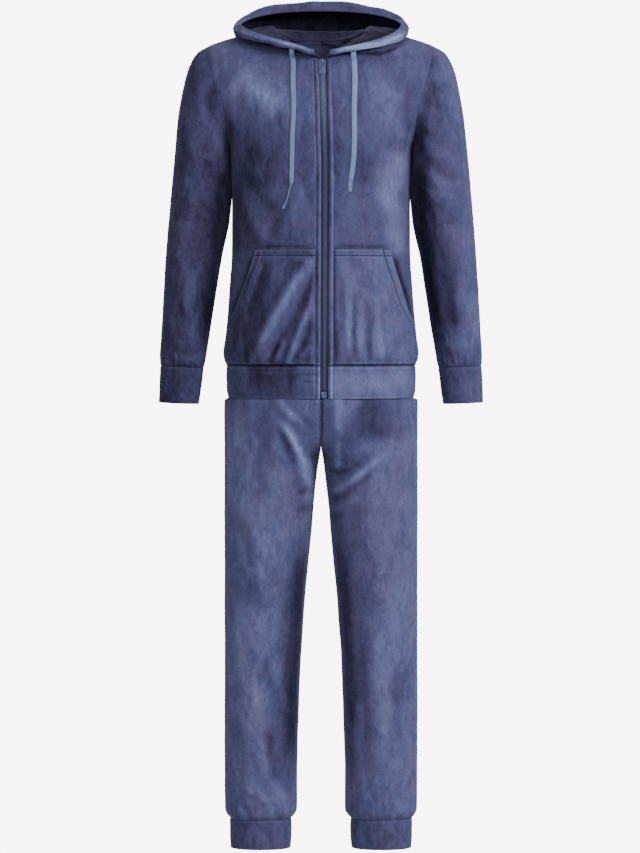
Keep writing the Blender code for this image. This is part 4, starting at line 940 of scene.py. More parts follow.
# %% Folds and strokes of the trousers
LEG_FOLDS = (
    ((-0.083, -0.618), (-0.065, -0.645), (-0.038, -0.672), 8 * MM, 1.5 * MM),
    ((-0.080, -0.656), (-0.054, -0.700), (-0.036, -0.739), (-0.024, -0.780), (-0.012, -0.830),
     8 * MM, 3.0 * MM),
    ((-0.082, -0.664), (-0.062, -0.720), (-0.044, -0.766), (-0.032, -0.812), 8 * MM, -1.5 * MM),
    ((-0.064, -0.632), (-0.037, -0.659), (-0.015, -0.684), 6 * MM, -0.9 * MM),
    ((-0.046, -0.796), (-0.023, -0.790), (0.000, -0.796), 3.5 * MM, -1.1 * MM),
    ((-0.048, -0.828), (-0.030, -0.824), (0.000, -0.828), 3.5 * MM, -1.1 * MM),
    ((-0.044, -0.812), (-0.020, -0.808), (0.000, -0.814), 5 * MM, 1.0 * MM),
    ((0.027, -0.600), (0.027, -0.698), 8 * MM, 1.8 * MM),
    ((0.028, -0.694), (0.027, -0.765), 9 * MM, 1.8 * MM),
    ((0.043, -0.680), (0.036, -0.712), (0.040, -0.741), (0.018, -0.762), 3.5 * MM, -1.2 * MM),
    ((-0.008, -0.754), (0.027, -0.756), (0.054, -0.759), 3 * MM, -1.3 * MM),
    ((0.112, -0.722), (0.062, -0.764), (0.030, -0.788), (0.000, -0.806), 5 * MM, 3.0 * MM),
    ((0.098, -0.746), (0.060, -0.776), (0.028, -0.801), (0.004, -0.815), 3.5 * MM, -2.0 * MM),
    ((0.090, -0.722), (0.050, -0.750), (0.012, -0.772), 4 * MM, -1.8 * MM),
    ((0.072, -0.798), (0.023, -0.827), (0.000, -0.842), 6.5 * MM, 2.0 * MM),
    ((0.046, -0.800), (0.023, -0.806), (0.000, -0.816), 4.5 * MM, -1.2 * MM),
    ((0.048, -0.828), (0.019, -0.846), (0.000, -0.856), 4 * MM, -1.2 * MM),
    ((0.130, -0.770), (0.110, -0.800), (0.085, -0.850), 10 * MM, -1.0 * MM),
    ((0.140, -0.880), (0.100, -0.960), (0.070, -1.030), 12 * MM, -1.2 * MM),
    ((0.120, -0.860), (0.090, -0.920), (0.070, -0.980), 12 * MM, 1.1 * MM),
    ((-0.147, -0.790), (-0.122, -0.858), (-0.090, -0.930), 12 * MM, 0.9 * MM),
    ((-0.136, -0.860), (-0.115, -0.930), (-0.098, -1.000), 10 * MM, 0.8 * MM),
    ((-0.155, -0.820), (-0.142, -0.920), (-0.130, -1.020), 10 * MM, -0.9 * MM),
    ((-0.150, -0.990), (-0.120, -1.050), (-0.105, -1.080), 8 * MM, -0.8 * MM),
    ((-0.080, -1.060), (-0.105, -1.100), (-0.118, -1.150), 6 * MM, -0.9 * MM),
    ((-0.095, -1.080), (-0.070, -1.180), (-0.080, -1.260), 10 * MM, 1.1 * MM),
    ((-0.120, -1.120), (-0.118, -1.230), (-0.095, -1.330), 14 * MM, 1.4 * MM),
    ((-0.100, -1.200), (-0.092, -1.290), (-0.070, -1.345), 8 * MM, -1.1 * MM),
    ((0.062, -1.000), (0.072, -1.120), (0.080, -1.340), 11 * MM, -1.3 * MM),
    ((0.098, -1.000), (0.095, -1.150), (0.098, -1.300), 20 * MM, 1.8 * MM),
    ((0.130, -1.060), (0.126, -1.180), (0.140, -1.260), 12 * MM, -1.0 * MM),
    ((0.080, -1.200), (0.110, -1.212), (0.135, -1.200), 4 * MM, -0.8 * MM),
    ((0.085, -1.170), (0.112, -1.176), 4 * MM, -0.7 * MM),
    ((0.092, -1.340), (0.115, -1.358), (0.140, -1.350), 5 * MM, 1.2 * MM),
    ((0.085, -1.330), (0.100, -1.350), (0.118, -1.362), 4 * MM, -1.1 * MM),
    ((-0.150, -1.350), (-0.130, -1.368), (-0.112, -1.362), 5 * MM, -1.2 * MM),
    ((-0.120, -1.335), (-0.100, -1.350), (-0.075, -1.345), 5 * MM, 1.2 * MM),
    ((-0.085, -1.300), (-0.068, -1.320), (-0.055, -1.345), 5 * MM, -1.2 * MM),
    ((-0.145, -1.320), (-0.120, -1.336), (-0.100, -1.333), 4 * MM, 1.0 * MM),
    ((-0.075, -1.320), (-0.060, -1.345), 5 * MM, -1.1 * MM),
)
# Pile and painted light on the legs: highlights along fold ridges, painted shade in troughs and creases, down
# the inner legs, along the centre seam and under the hem band.
LEG_NAP_AND_PAINTED_LIGHT = (
    ((-0.152, -0.631), (-0.150, -0.680), (-0.150, -0.720), 6 * MM, 0.12),
    ((-0.140, -0.636), (-0.139, -0.707), 4 * MM, 0.08),
    ((-0.160, -0.640), (-0.150, -0.760), (-0.140, -0.860), 30 * MM, 0.16),
    ((-0.100, -0.790), (-0.100, -0.860), (-0.090, -0.960), 26 * MM, 0.08),
    ((-0.083, -0.620), (-0.065, -0.645), (-0.042, -0.668), 7 * MM, 0.13),
    ((-0.086, -0.650), (-0.060, -0.690), (-0.040, -0.728), (-0.024, -0.772), (-0.008, -0.830), 11 * MM, 0.24),
    ((-0.084, -0.660), (-0.066, -0.715), (-0.048, -0.762), (-0.036, -0.860), 11 * MM, -0.17),
    ((-0.105, -0.650), (-0.096, -0.720), (-0.080, -0.760), 14 * MM, -0.08),
    ((-0.046, -0.796), (-0.023, -0.790), (-0.009, -0.794), 5 * MM, -0.20),
    ((-0.046, -0.827), (-0.030, -0.824), (-0.016, -0.827), 6 * MM, -0.18),
    ((-0.147, -0.801), (-0.122, -0.858), (-0.097, -0.911), 9 * MM, 0.10),
    ((-0.160, -0.850), (-0.140, -0.900), (-0.120, -0.960), 14 * MM, 0.10),
    ((-0.150, -0.960), (-0.140, -1.100), (-0.125, -1.240), 24 * MM, 0.12),
    ((-0.115, -0.990), (-0.100, -1.080), 24 * MM, 0.12),
    ((-0.022, -0.850), (-0.038, -1.000), (-0.048, -1.150), (-0.050, -1.350), 24 * MM, -0.50),
    ((-0.115, -1.120), (-0.130, -1.250), (-0.110, -1.340), 13 * MM, 0.08),
    ((-0.095, -1.210), (-0.085, -1.330), 16 * MM, -0.14),
    ((0.000, -0.610), (0.000, -0.730), 2.5 * MM, -0.35),
    ((0.010, -0.620), (0.010, -0.700), 6 * MM, -0.10),
    ((0.027, -0.615), (0.027, -0.690), 7 * MM, 0.14),
    ((0.028, -0.700), (0.027, -0.751), 9 * MM, 0.10),
    ((0.041, -0.684), (0.035, -0.712), (0.039, -0.741), (0.023, -0.757), 4 * MM, -0.14),
    ((0.009, -0.755), (0.027, -0.756), (0.046, -0.758), 4 * MM, -0.20),
    ((0.120, -0.718), (0.062, -0.764), (0.023, -0.792), (-0.006, -0.810), 6 * MM, 0.20),
    ((0.100, -0.752), (0.060, -0.783), (0.024, -0.812), (0.004, -0.822), 5 * MM, -0.14),
    ((0.076, -0.732), (0.044, -0.753), (0.020, -0.764), 6 * MM, -0.14),
    ((0.058, -0.806), (0.023, -0.827), 6 * MM, 0.12),
    ((0.036, -0.804), (0.010, -0.797), 7 * MM, -0.16),
    ((0.038, -0.829), (0.017, -0.845), 6 * MM, -0.14),
    ((0.060, -0.632), (0.095, -0.655), (0.105, -0.710), 44 * MM, -0.30),
    ((0.110, -0.790), (0.105, -0.870), 26 * MM, 0.04),
    ((0.024, -0.850), (0.038, -0.960), (0.050, -1.080), (0.058, -1.350), 16 * MM, -0.26),
    ((0.145, -0.900), (0.135, -1.050), (0.120, -1.150), 28 * MM, 0.08),
    ((0.110, -0.900), (0.085, -0.970), (0.068, -1.030), 10 * MM, -0.14),
    ((0.095, -1.040), (0.092, -1.160), 18 * MM, 0.10),
    ((0.150, -1.080), (0.135, -1.180), 16 * MM, -0.10),
    ((0.110, -1.230), (0.115, -1.330), 22 * MM, 0.06),
)


# %% Working out one piece's relief, nap and painted light
# Direction of the key light. The nap is painted lighter where the cloth faces it and darker where it faces
# away: painted light and shade.
LIGHT = unit(np.array((0.80, -0.42, 0.42)))
GROOVE = 0.9 * MM       # how deep a seam lies
EDGE = 13 * MM          # folds fade out over this distance from a seam


def seam_groove(away, deep=GROOVE, wide=1.8 * MM):
    """The cloth dips towards a seam."""
    return -deep * np.exp(-(away / wide) ** 2)


def gathers(grid, away, seam, seed, spacing=0.017, size=1.6 * MM, reach=0.030):
    """Ridges that run away from a gathered seam: waves along it that fade with the distance from it."""
    along = run(grid[seam])
    pick = np.random.default_rng(seed)
    wave = np.zeros(len(along))
    for part in (1.0, 0.8, 0.6, 0.45):
        times = round(along[-1] / (spacing * pick.uniform(0.55, 1.9)))
        wave += part * np.sin(2 * math.pi * times * along / along[-1] + pick.uniform(0, 6.3))
    return size * 0.6 * wave * smooth(away, 0.001, 0.007) * np.exp(-away / reach)


def nap_with_painted_light(shaped, plain_facing, kind, base, strokes):
    """Nap and painted light: a base, lighter where the cloth and its folds turn to the light and darker where
    they turn away, and the strokes on both sides.
    """
    facing = grid_normals(shaped, kind)
    turned = (facing - plain_facing) @ LIGHT
    ahead = folds_relief(shaped, facing, strokes, -1)
    behind = 0.7 * folds_relief(shaped * (-1, 1, 1), facing, strokes, 1)
    return base + 0.12 * (facing @ LIGHT) + 0.85 * turned + ahead + behind


def pressed_and_shaded(away, deep=0.30, wide=1.3 * MM):
    """A stitched line or an edge in the nap: the pile is pulled down dark in it and stands light beside it; the
    dark line is also painted shade in the seam, and the light one a painted highlight.
    """
    return 0.4 * deep * np.exp(-((away - 2.2 * wide) / wide) ** 2) - deep * np.exp(-(away / wide) ** 2)


def apart(grid):
    """1, but 0 where a sleeve lies against the body: there the two are too close for folds."""
    near = np.exp(-((np.abs(grid[..., 0]) - 0.162) / 0.011) ** 2)
    return 1 - near * smooth(grid[..., 2], -0.36, -0.30)


def lean_on_body(grid):
    """A sleeve swells towards the body behind the side seam, where the body turns away: a bell around there."""
    x, y, z = np.abs(grid[..., 0]), grid[..., 1], grid[..., 2]
    level = smooth(z, -0.335, -0.295) * smooth(-z, 0.150, 0.172)
    return 4.2 * MM * np.exp(-((y - 0.026) / 0.012) ** 2) * smooth(-x, -0.195, -0.180) * level


def creased(grid, kind, folds, seed, marks=60, calm=0.0, ripple=0.4 * MM, edge=EDGE):
    """Relief of the folds on both sides, of many small creases and of a soft ripple, fading towards seams."""
    facing = grid_normals(grid, kind)
    rise, fall, sides = edge_distance(grid, kind)
    fade = smooth(np.minimum(np.minimum(rise, fall), sides), calm, calm + edge) * apart(grid)
    ahead = folds_relief(grid, facing, folds, -1)
    behind = 0.8 * folds_relief(grid * (-1, 1, 1), facing, folds, 1)
    small = creases_relief(grid, seed, marks)
    return (ahead + behind + small + ripple * ripples(grid, seed)) * fade, facing


def cut_of(grid, kind):
    """Width, length and area of a piece of cloth: its widest row, its longest column, and its faces' sum."""
    across = np.concatenate([grid, grid[:, :1]], axis=1) if kind == "tube" else grid
    width = np.linalg.norm(np.diff(across, axis=1), axis=-1).sum(axis=1).max()
    length = np.linalg.norm(np.diff(grid, axis=0), axis=-1).sum(axis=0).max()
    a, b, c, d = (grid.reshape(-1, 3)[corner] for corner in grid_faces(*grid.shape[:2], kind).T)
    area = 0.5 * np.linalg.norm(np.cross(c - a, d - b), axis=-1).sum()
    return float(width), float(length), float(min(area, width * length))


sewn = {}


def sew(name, grid, kind, relief, facing, base, strokes, sewn_to=(), inner_painted_light=None, seam_nap_and_shade=0.0):
    """A piece of cloth: its grid moved along its normals by the relief, with its nap and painted light, riding
    the garment.
    """
    shaped = grid + facing * relief[..., None]
    nap = nap_with_painted_light(shaped, facing, kind, base, strokes) + seam_nap_and_shade
    sewn[name] = shaped, facing
    made = wall(name + "_cloth", shaped, kind, velour, nap, CLOTH, inner_painted_light)
    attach(made, "cloth")
    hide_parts(name)
    width, length, area = cut_of(grid, kind)
    print(f"{name}: cut {width:.3f} x {length:.3f} m, {area:.4f} m2, {2 * len(made.data.polygons)} triangles")


# %% Grids of the jacket
TURNS = 140
OUT_Z = PANEL_COLUMNS.index("out_z")
ARMHOLE = SHOULDER - UNDERARM
turn = 2 * math.pi * np.arange(TURNS) / TURNS
step = np.arange(TURNS) * 2 * ARMHOLE / TURNS      # rows passed: down the front's armhole, then up the back's
front_rows = np.unique(np.concatenate([evenly(FRONT, OUT_Z, 178, 0, 12), np.linspace(12, SHOULDER, 16)]))
neck_row = int(np.argmin(np.abs(front_rows - NECK)))
front_rows[neck_row] = NECK
across = np.concatenate([np.linspace(0, 0.05, 20), np.linspace(0.05, 1, 68)[1:]])
front_left = panel(FRONT, front_rows[:, None], across)
back_half = panel(BACK, front_rows[:, None], np.linspace(0, 1, 63))
whole_back = np.concatenate([back_half[:, ::-1], back_half * (-1, 1, 1)], axis=1)

on_front = step <= ARMHOLE
armhole_rows = np.where(on_front, SHOULDER - step, step + (UNDERARM - ARMHOLE))
armhole = np.where(on_front[:, None], panel(FRONT, armhole_rows, 1.0), panel(BACK, armhole_rows, 1.0))
sleeve_rings = np.concatenate([armhole[None], ovals(SLEEVE, np.arange(len(SLEEVE))[:, None], turn)])
sleeve_table = sleeve_rings.reshape(len(sleeve_rings), -1)
sleeve_rows = np.concatenate([np.linspace(0, 1, 10)[:-1], evenly(sleeve_table, 2, 150, 1)])
sleeve_left = glide(sleeve_table, sleeve_rows).reshape(-1, TURNS, 3)
cuff_left = ovals(SLEEVE_CUFF, np.linspace(0, 2, 30)[:, None], turn)


def banded(seam, table, count):
    """Rings of a band along a seam: each is lower by its drop and keeps a part of the seam's outline."""
    middle = (seam.min(axis=0) + seam.max(axis=0)) / 2
    drop, keep = glide(table, np.linspace(0, len(table) - 1, count)).T
    kept = np.stack([keep, keep, np.ones_like(keep)], axis=-1)[:, None, :]
    return middle + (seam - middle) * kept - drop[:, None, None] * np.array((0, 0, 1.0))


half_hem = np.vstack([front_left[0, :-1], back_half[0, ::-1]])
hem = np.vstack([half_hem * (-1, 1, 1), half_hem[-2::-1]])
hem_band = banded(hem, HEM_BAND, 26)
neckline = np.vstack([panel(FRONT, np.linspace(NECK, SHOULDER, 53), 0.0),
                      panel(BACK, np.linspace(SHOULDER, NECK, 53)[1:], 0.0)])
hood_rows = np.unique(np.concatenate([np.linspace(0, 1, 10), np.linspace(1, len(HOOD) - 1, 100)]))


def hood_half(droop):
    """The hood's left half over a fine grid, its first ring drawn onto the neckline."""
    rings = hood_rings(hood_rows, 52, droop)
    fade = np.clip(1 - hood_rows, 0, 1)[:, None, None]
    return rings + fade * (neckline - rings[0])


# %% Sew the body of the jacket
ROLL, ROLL_HIGH = 7.0 * MM, 0.55 * MM                  # width and height of the roll beside the zip
STITCHING, STITCHING_DEEP = 8.2 * MM, 0.3 * MM         # where its stitching lies, and how deep


def zip_roll(away):
    """The cloth beside the zip is turned under and stitched: a small roll, then the groove of the stitching."""
    t = np.clip(away / ROLL, 0, 1)
    groove = np.exp(-((away - STITCHING) / (1.0 * MM)) ** 2)
    return ROLL_HIGH * np.sin(math.pi * t) ** 0.8 - STITCHING_DEEP * groove


for side, grid in (("left", with_sway(front_left)), ("right", with_sway(mirrored(front_left)))):
    relief, facing = creased(grid, "flat", BODY_FOLDS, 11 if side == "left" else 12, 130)
    rise, _, _ = edge_distance(grid, "flat")
    crossed = crossed_from_first(grid)
    from_zip = crossed if side == "left" else crossed[:, -1:] - crossed
    other = np.minimum(crossed[:, -1:] - from_zip, rise)
    below_neck = smooth(-grid[..., 2], 0.022, 0.034)
    relief += 0.5 * gathers(grid, rise, 0, 21) + seam_groove(other, 0.15 * MM) + zip_roll(from_zip) * below_neck
    sew("jacket_front_" + side, grid, "flat", relief, facing, 0.47, BODY_NAP_AND_PAINTED_LIGHT + FRONT_SHADE,
        ["jacket_back"], None, pressed_and_shaded(rise, 0.30, 1.8 * MM))

grid = with_sway(whole_back)
back_kind = f"back{neck_row}"
relief, facing = creased(grid, back_kind, BODY_FOLDS, 13, 240)
rise, _, sides = edge_distance(grid, "flat")
relief += 0.5 * gathers(grid, rise, 0, 22) + seam_groove(np.minimum(rise, sides), 0.3 * MM)
# The back's inner face is painted light near the neck, where it shows in the V, and dark below it: painted
# light and shade.
inside_painted_light = 0.12 + 0.46 * smooth(grid[..., 2], -0.10, -0.02)
sew("jacket_back", grid, back_kind, relief, facing, 0.45, BODY_NAP_AND_PAINTED_LIGHT,
    ["jacket_front_left", "jacket_front_right"], inside_painted_light)

# The sleeve on the wearer's right, away from the key light, has a darker base (0.31 against 0.46), and so has
# its cuff: painted shade.
for side, grid, strokes, base in (("left", sleeve_left, SLEEVE_LEFT_NAP_AND_PAINTED_LIGHT, 0.46),
                                  ("right", mirrored(sleeve_left), SLEEVE_RIGHT_NAP_AND_PAINTED_LIGHT, 0.31)):
    folds = SLEEVE_FOLDS if side == "left" else [
        (*[(-x, z + 0.006) for x, z in points], reach, height) for *points, reach, height in SLEEVE_FOLDS]
    relief, facing = creased(grid, "tube", folds, 14 if side == "left" else 15, 190)
    rise, fall, _ = edge_distance(grid, "tube")
    relief += (gathers(grid, fall, -1, 23, 0.014, 0.5 * MM, 0.018) + seam_groove(fall)
               + seam_groove(rise, 0.15 * MM))
    relief += lean_on_body(grid) * smooth(rise, 0, 10 * MM)
    sew("sleeve_" + side, grid, "tube", relief, facing, base, strokes,
        ["jacket_front_" + side, "jacket_back"])
    cuff = cuff_left if side == "left" else mirrored(cuff_left)
    relief, facing = creased(cuff, "tube", (), 16, 26, 0.004)
    rise, _, _ = edge_distance(cuff, "tube")
    relief += seam_groove(rise) + gathers(cuff, rise, 0, 24, 0.012, 0.25 * MM, 0.010)
    sew("sleeve_cuff_" + side, cuff, "tube", relief, facing, base - 0.02, strokes,
        ["sleeve_" + side])

grid = with_sway(hem_band)
relief, facing = creased(grid, "flat", (), 17, 50, 0.003, 0.4 * MM)
rise, fall, sides = edge_distance(grid, "flat")
relief += seam_groove(rise) + zip_roll(sides)
# The band's top seam gets a dark line of painted shade, and its lower edge a thin painted highlight (0.16).
sew("hem_band", grid, "flat", relief, facing, 0.49, BODY_NAP_AND_PAINTED_LIGHT,
    ["jacket_front_left", "jacket_front_right", "jacket_back"], None,
    pressed_and_shaded(rise, 0.36, 1.8 * MM) + 0.16 * np.exp(-(fall / (2.2 * MM)) ** 2))

# %% Sew the hood
# Painted light and shade on the hood: highlights along both front lips, brightest on the wearer's left, and
# painted shade along the rim's free edge and in its corner.
HOOD_PAINTED_LIGHT = (
    ((-0.150, 0.030), (-0.126, 0.021), (-0.100, 0.012), (-0.070, 0.005), (-0.045, -0.002), (-0.014, -0.012),
     5 * MM, 0.20),
    ((-0.070, 0.007), (-0.045, -0.002), (-0.018, -0.010), 4 * MM, 0.22),
    ((0.155, 0.034), (0.140, 0.020), (0.120, 0.008), (0.090, 0.001), (0.055, -0.001), (0.018, -0.012),
     10 * MM, 0.50),
    ((0.100, -0.002), (0.055, -0.003), (0.018, -0.013), 5 * MM, 0.16),
    ((-0.140, 0.062), (-0.080, 0.083), (0.000, 0.092), (0.080, 0.083), (0.140, 0.062), 12 * MM, -0.10),
    ((-0.150, 0.045), (-0.100, 0.068), (0.000, 0.079), (0.100, 0.068), (0.150, 0.045), 5 * MM, -0.14),
    ((-0.150, 0.034), (-0.158, 0.046), (-0.145, 0.060), 7 * MM, -0.14),
)
# Painted shade on the hood's inner face: darkest deep in the hood, lighter at the neck seam and at the rim.
HOOD_INSIDE_SHADE = (      # row of the hood's table, nap of the inner face there
    (0, 0.24), (0.5, 0.17), (1, 0.11), (1.6, 0.10), (3.0, 0.08), (4.4, 0.08), (5.2, 0.12), (6, 0.22))
LIP_HEM = 20 * MM      # from the lip's edge to the stitching of its hem, which holds the drawstring
for side in ("left", "right"):
    half = hood_half(LIP_DROOP if side == "left" else 0.0)
    grid = with_sway(half if side == "left" else mirrored(half))
    relief, facing = creased(grid, "flat", (), 18 if side == "left" else 19, 80, 0.002, 0.9 * MM)
    rise, fall, sides = edge_distance(grid, "flat")
    relief += seam_groove(rise) + seam_groove(sides, 0.2 * MM) + seam_groove(fall - LIP_HEM, 0.7 * MM, 1.2 * MM)
    inside_painted_light = np.broadcast_to(np.interp(hood_rows, *zip(*HOOD_INSIDE_SHADE))[:, None], grid.shape[:2])
    sew("hood_" + side, grid, "flat", relief, facing, 0.47, HOOD_PAINTED_LIGHT,
        ["jacket_front_" + side, "jacket_back"], inside_painted_light)

# %% Sew the pockets
POCKET = (
    (0.10, 0.885),       # hem seam
    (1.00, 0.900),
    (1.65, 0.845),       # lower end of the hand opening
    (2.30, 0.640),
    (2.90, 0.555),
    (3.48, 0.516),
    (4.075, 0.496),      # top edge
)
POCKET_START, MOUTH_LOW, POCKET_LIFT, POCKET_FULLNESS = 0.035, 1.65, 0.0008, 0.012
TOP_HEM, MOUTH_HEM = 12.5 * MM, 15 * MM      # from the pocket's edges to the stitching of their hems
MOUTH_SLANT = 1.15                           # the way to the slanting mouth along a row, over the straight way


def pocket_grid():
    """The left pocket: points of the front panel, moved out, and further at the slanting hand opening."""
    top = len(POCKET) - 1.0
    places = np.concatenate([np.linspace(0, 0.12, 8)[:-1], np.linspace(0.12, top - 0.55, 78)[:-1],
                             np.linspace(top - 0.55, top, 36)])
    panel_row, edge = glide(POCKET, places).T
    over = np.concatenate([np.linspace(0, 0.80, 50)[:-1], np.linspace(0.80, 1, 40)])
    across = POCKET_START + (edge - POCKET_START)[:, None] * over
    points = panel(FRONT, panel_row[:, None], across)
    facing = grid_normals(points, "flat")
    opening = np.clip((panel_row - MOUTH_LOW) / (panel_row[-1] - MOUTH_LOW), 0, 1)
    bulge = np.sin(math.pi * opening)[:, None] * np.sin(0.5 * math.pi * over)
    return points + facing * (POCKET_LIFT + CLOTH + POCKET_FULLNESS * bulge)[..., None]


# The right pocket, away from the key light, has a darker base (0.38 against 0.56): painted shade.
for side, folds, strokes, base in (("left", POCKET_LEFT_FOLDS, POCKET_LEFT_PAINTED_LIGHT, 0.56),
                                   ("right", POCKET_RIGHT_FOLDS, POCKET_RIGHT_PAINTED_LIGHT, 0.38)):
    flat = pocket_grid()
    grid = with_sway(flat if side == "left" else mirrored(flat))
    facing = grid_normals(grid, "flat")
    rise, fall, sides = edge_distance(grid, "flat")
    crossed = crossed_from_first(grid)
    from_mouth = (crossed[:, -1:] - crossed) if side == "left" else crossed
    from_zip = crossed[:, -1:] - from_mouth
    mouth = from_mouth / MOUTH_SLANT
    hem_fade = smooth(fall, 12 * MM, 26 * MM) * smooth(from_zip, 0, 10 * MM) * smooth(mouth, 10 * MM, 26 * MM)
    relief = folds_relief(grid, facing, folds) * hem_fade * smooth(rise, 0, 5 * MM)
    relief += 0.4 * MM * ripples(grid, 31) * smooth(np.minimum(fall, sides), 0, 10 * MM)
    relief += creases_relief(grid, 32, 40) * hem_fade
    relief += gathers(grid, rise, 0, 33, 0.016, 0.5 * MM, 0.020) * smooth(sides, 0, 8 * MM)
    relief += (seam_groove(fall - TOP_HEM, 0.9 * MM, 0.9 * MM)
               + seam_groove(mouth - MOUTH_HEM, 0.8 * MM, 0.9 * MM))
    # Dark lines at the pocket's hems, edges and bottom seam: partly pressed pile, partly painted shade.
    seam_nap_and_shade = pressed_and_shaded(fall - TOP_HEM, 0.34, 0.9 * MM) + pressed_and_shaded(mouth - MOUTH_HEM, 0.26, 0.9 * MM)
    seam_nap_and_shade += pressed_and_shaded(np.minimum(fall, from_mouth), 0.36, 1.0 * MM) + pressed_and_shaded(rise, 0.40, 1.6 * MM)
    relief += seam_groove(np.minimum(from_zip, rise), 0.8 * MM) - 0.5 * MM * np.exp(-(fall / (1.2 * MM)) ** 2)
    sew("pocket_" + side, grid, "flat", relief, facing, base, strokes,
        ["jacket_front_" + side], None, seam_nap_and_shade)

# %% Grids of the trousers
CROTCH_Z = -0.716
leg_rows = evenly(LEG_FRONT, OUT_Z, 210)
leg_across = np.linspace(0, 1, 50)
leg_front = panel(LEG_FRONT, leg_rows[:, None], leg_across)
leg_back = panel(LEG_BACK, leg_rows[:, None], leg_across)
ankle = np.vstack([leg_front[-1, ::-1], leg_back[-1, 1:-1]])
half_waist = np.vstack([leg_front[0, :-1], leg_back[0, ::-1]])
waist = np.vstack([half_waist, (half_waist * (-1, 1, 1))[-2:0:-1]])
ankle_cuff = banded(ankle, ANKLE_CUFF, 28)
waistband = banded(waist, WAISTBAND, 20)

# %% Sew the trousers
for name, grid, seed in (
        ("leg_front_left", leg_front[:, ::-1], 41), ("leg_front_right", leg_front * (-1, 1, 1), 42),
        ("leg_back_left", leg_back, 43), ("leg_back_right", mirrored(leg_back), 44)):
    relief, facing = creased(grid, "flat", LEG_FOLDS, seed, 170, 0.0, 0.4 * MM, 6 * MM)
    rise, fall, sides = edge_distance(grid, "flat")
    crotch = 1 - 0.9 * np.exp(-((grid[..., 2] - CROTCH_Z) / 0.030) ** 2)
    relief += (gathers(grid, rise, 0, 26, 0.015, 1.2 * MM, 0.03)
               + gathers(grid, fall, -1, 27, 0.015, 0.9 * MM, 0.018))
    relief += seam_groove(np.minimum(rise, fall)) + seam_groove(sides, 0.7 * MM) * crotch
    sew(name, grid, "flat", relief, facing, 0.58, LEG_NAP_AND_PAINTED_LIGHT, ["waistband"])

for side, grid, base in (("left", ankle_cuff, 0.45), ("right", mirrored(ankle_cuff), 0.43)):
    relief, facing = creased(grid, "tube", (), 45, 30, 0.004)
    rise, _, _ = edge_distance(grid, "tube")
    relief += seam_groove(rise) + gathers(grid, rise, 0, 28, 0.013, 0.3 * MM, 0.010)
    sew("ankle_cuff_" + side, grid, "tube", relief, facing, base, (),
        ["leg_front_" + side, "leg_back_" + side])

relief, facing = creased(waistband, "tube", (), 46, 60, 0.004)
rise, _, _ = edge_distance(waistband, "tube")
relief += seam_groove(rise) + gathers(waistband, rise, 0, 29, 0.010, 1.2 * MM, 0.030)
sew("waistband", waistband, "tube", relief, facing, 0.40, ())

# %% [markdown]
# ## The zip
#
# The zip runs from the box at the foot of the hem band to the neck. Its two tapes lie behind the rolled edges
# of the fronts, and the teeth of the two sides take turns. A tooth is tiny and repeated 370 times, so it has
# only twenty faces. All teeth are one mesh: the template's points are placed by arrays, not by a loop.

# %% Tapes
CHAIN_HALF, TAPE_UNDER, TAPE_OUT = 0.0028, 0.0012, 0.0125      # the tape reaches under the chain's edge
TAPE_THICK, SEAM, TAPE_FORWARD = 0.0008, 0.0003, 0.0009         # beside the chain it comes forward
HEM_SEAM_Z, BOX_DROP = -0.567, 0.0455
WEAVE_WIDTH = 0.004                 # width of one rib of the herringbone
band_z = np.linspace(HEM_SEAM_Z - BOX_DROP, HEM_SEAM_Z, 10)
down_band = np.stack([0 * band_z, np.full(10, hem[0, 1]), band_z], axis=1)
up_front = panel(FRONT, np.linspace(0, NECK, 200), 0.0) * (0, 1, 1)
zip_middle = np.vstack([down_band[:-1], up_front])
travelled = run(zip_middle)
ZIP_LENGTH = travelled[-1]


def on_zip(along, reach=0.004):
    """Point of the zip's middle line, its direction upwards and its outward direction, at a length along it."""
    point, ahead, back = (along_line(along + step, travelled, zip_middle) for step in (0, reach, -reach))
    up = unit(ahead - back)
    out = unit(np.cross(up, np.broadcast_to((-1.0, 0, 0), up.shape)))
    out = out * np.where(out[..., 1:2] > 0, -1.0, 1.0)
    return point + zip_sway(point[..., 2])[..., None] * (1, 0, 0), up, out


def strip_along(name, lengths, over, behind, thick, material):
    """A flat strip that follows the zip: `over` are its places across, `behind` how deep its face lies."""
    point, up, out = on_zip(lengths)
    grid = point[:, None] + over[None, :, None] * np.array((1.0, 0, 0)) - out[:, None] * behind[None, :, None]
    made = wall(name, grid, "flat", material, np.full(grid.shape[:2], 0.5), thick)
    where = np.empty(len(made.data.vertices) * 3)
    made.data.vertices.foreach_get("co", where)
    x, _, z = where.reshape(-1, 3).T
    carry(made.data, {"along": z, "over": np.abs(x - zip_sway(z)) / WEAVE_WIDTH})
    return made


places = np.linspace(CHAIN_HALF - TAPE_UNDER, TAPE_OUT, 12)
depth = CLOTH + SEAM - TAPE_FORWARD * (1 - smooth(places, 0.0030, 0.0074))
for side, sign in (("left", 1), ("right", -1)):
    made = strip_along("tape_" + side, np.linspace(0, ZIP_LENGTH - 0.001, 200), (sign * places)[::sign],
                       depth[::sign], TAPE_THICK, tape_weave)
    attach(made, "cloth")
    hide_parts("zip_tape_" + side)

# %% Teeth
PITCH = 0.0031
CHAIN_START, CHAIN_END = 0.003, 0.0150      # from the zip's foot to the first tooth, from the last to its top
CHAIN_SUNK = 0.0010


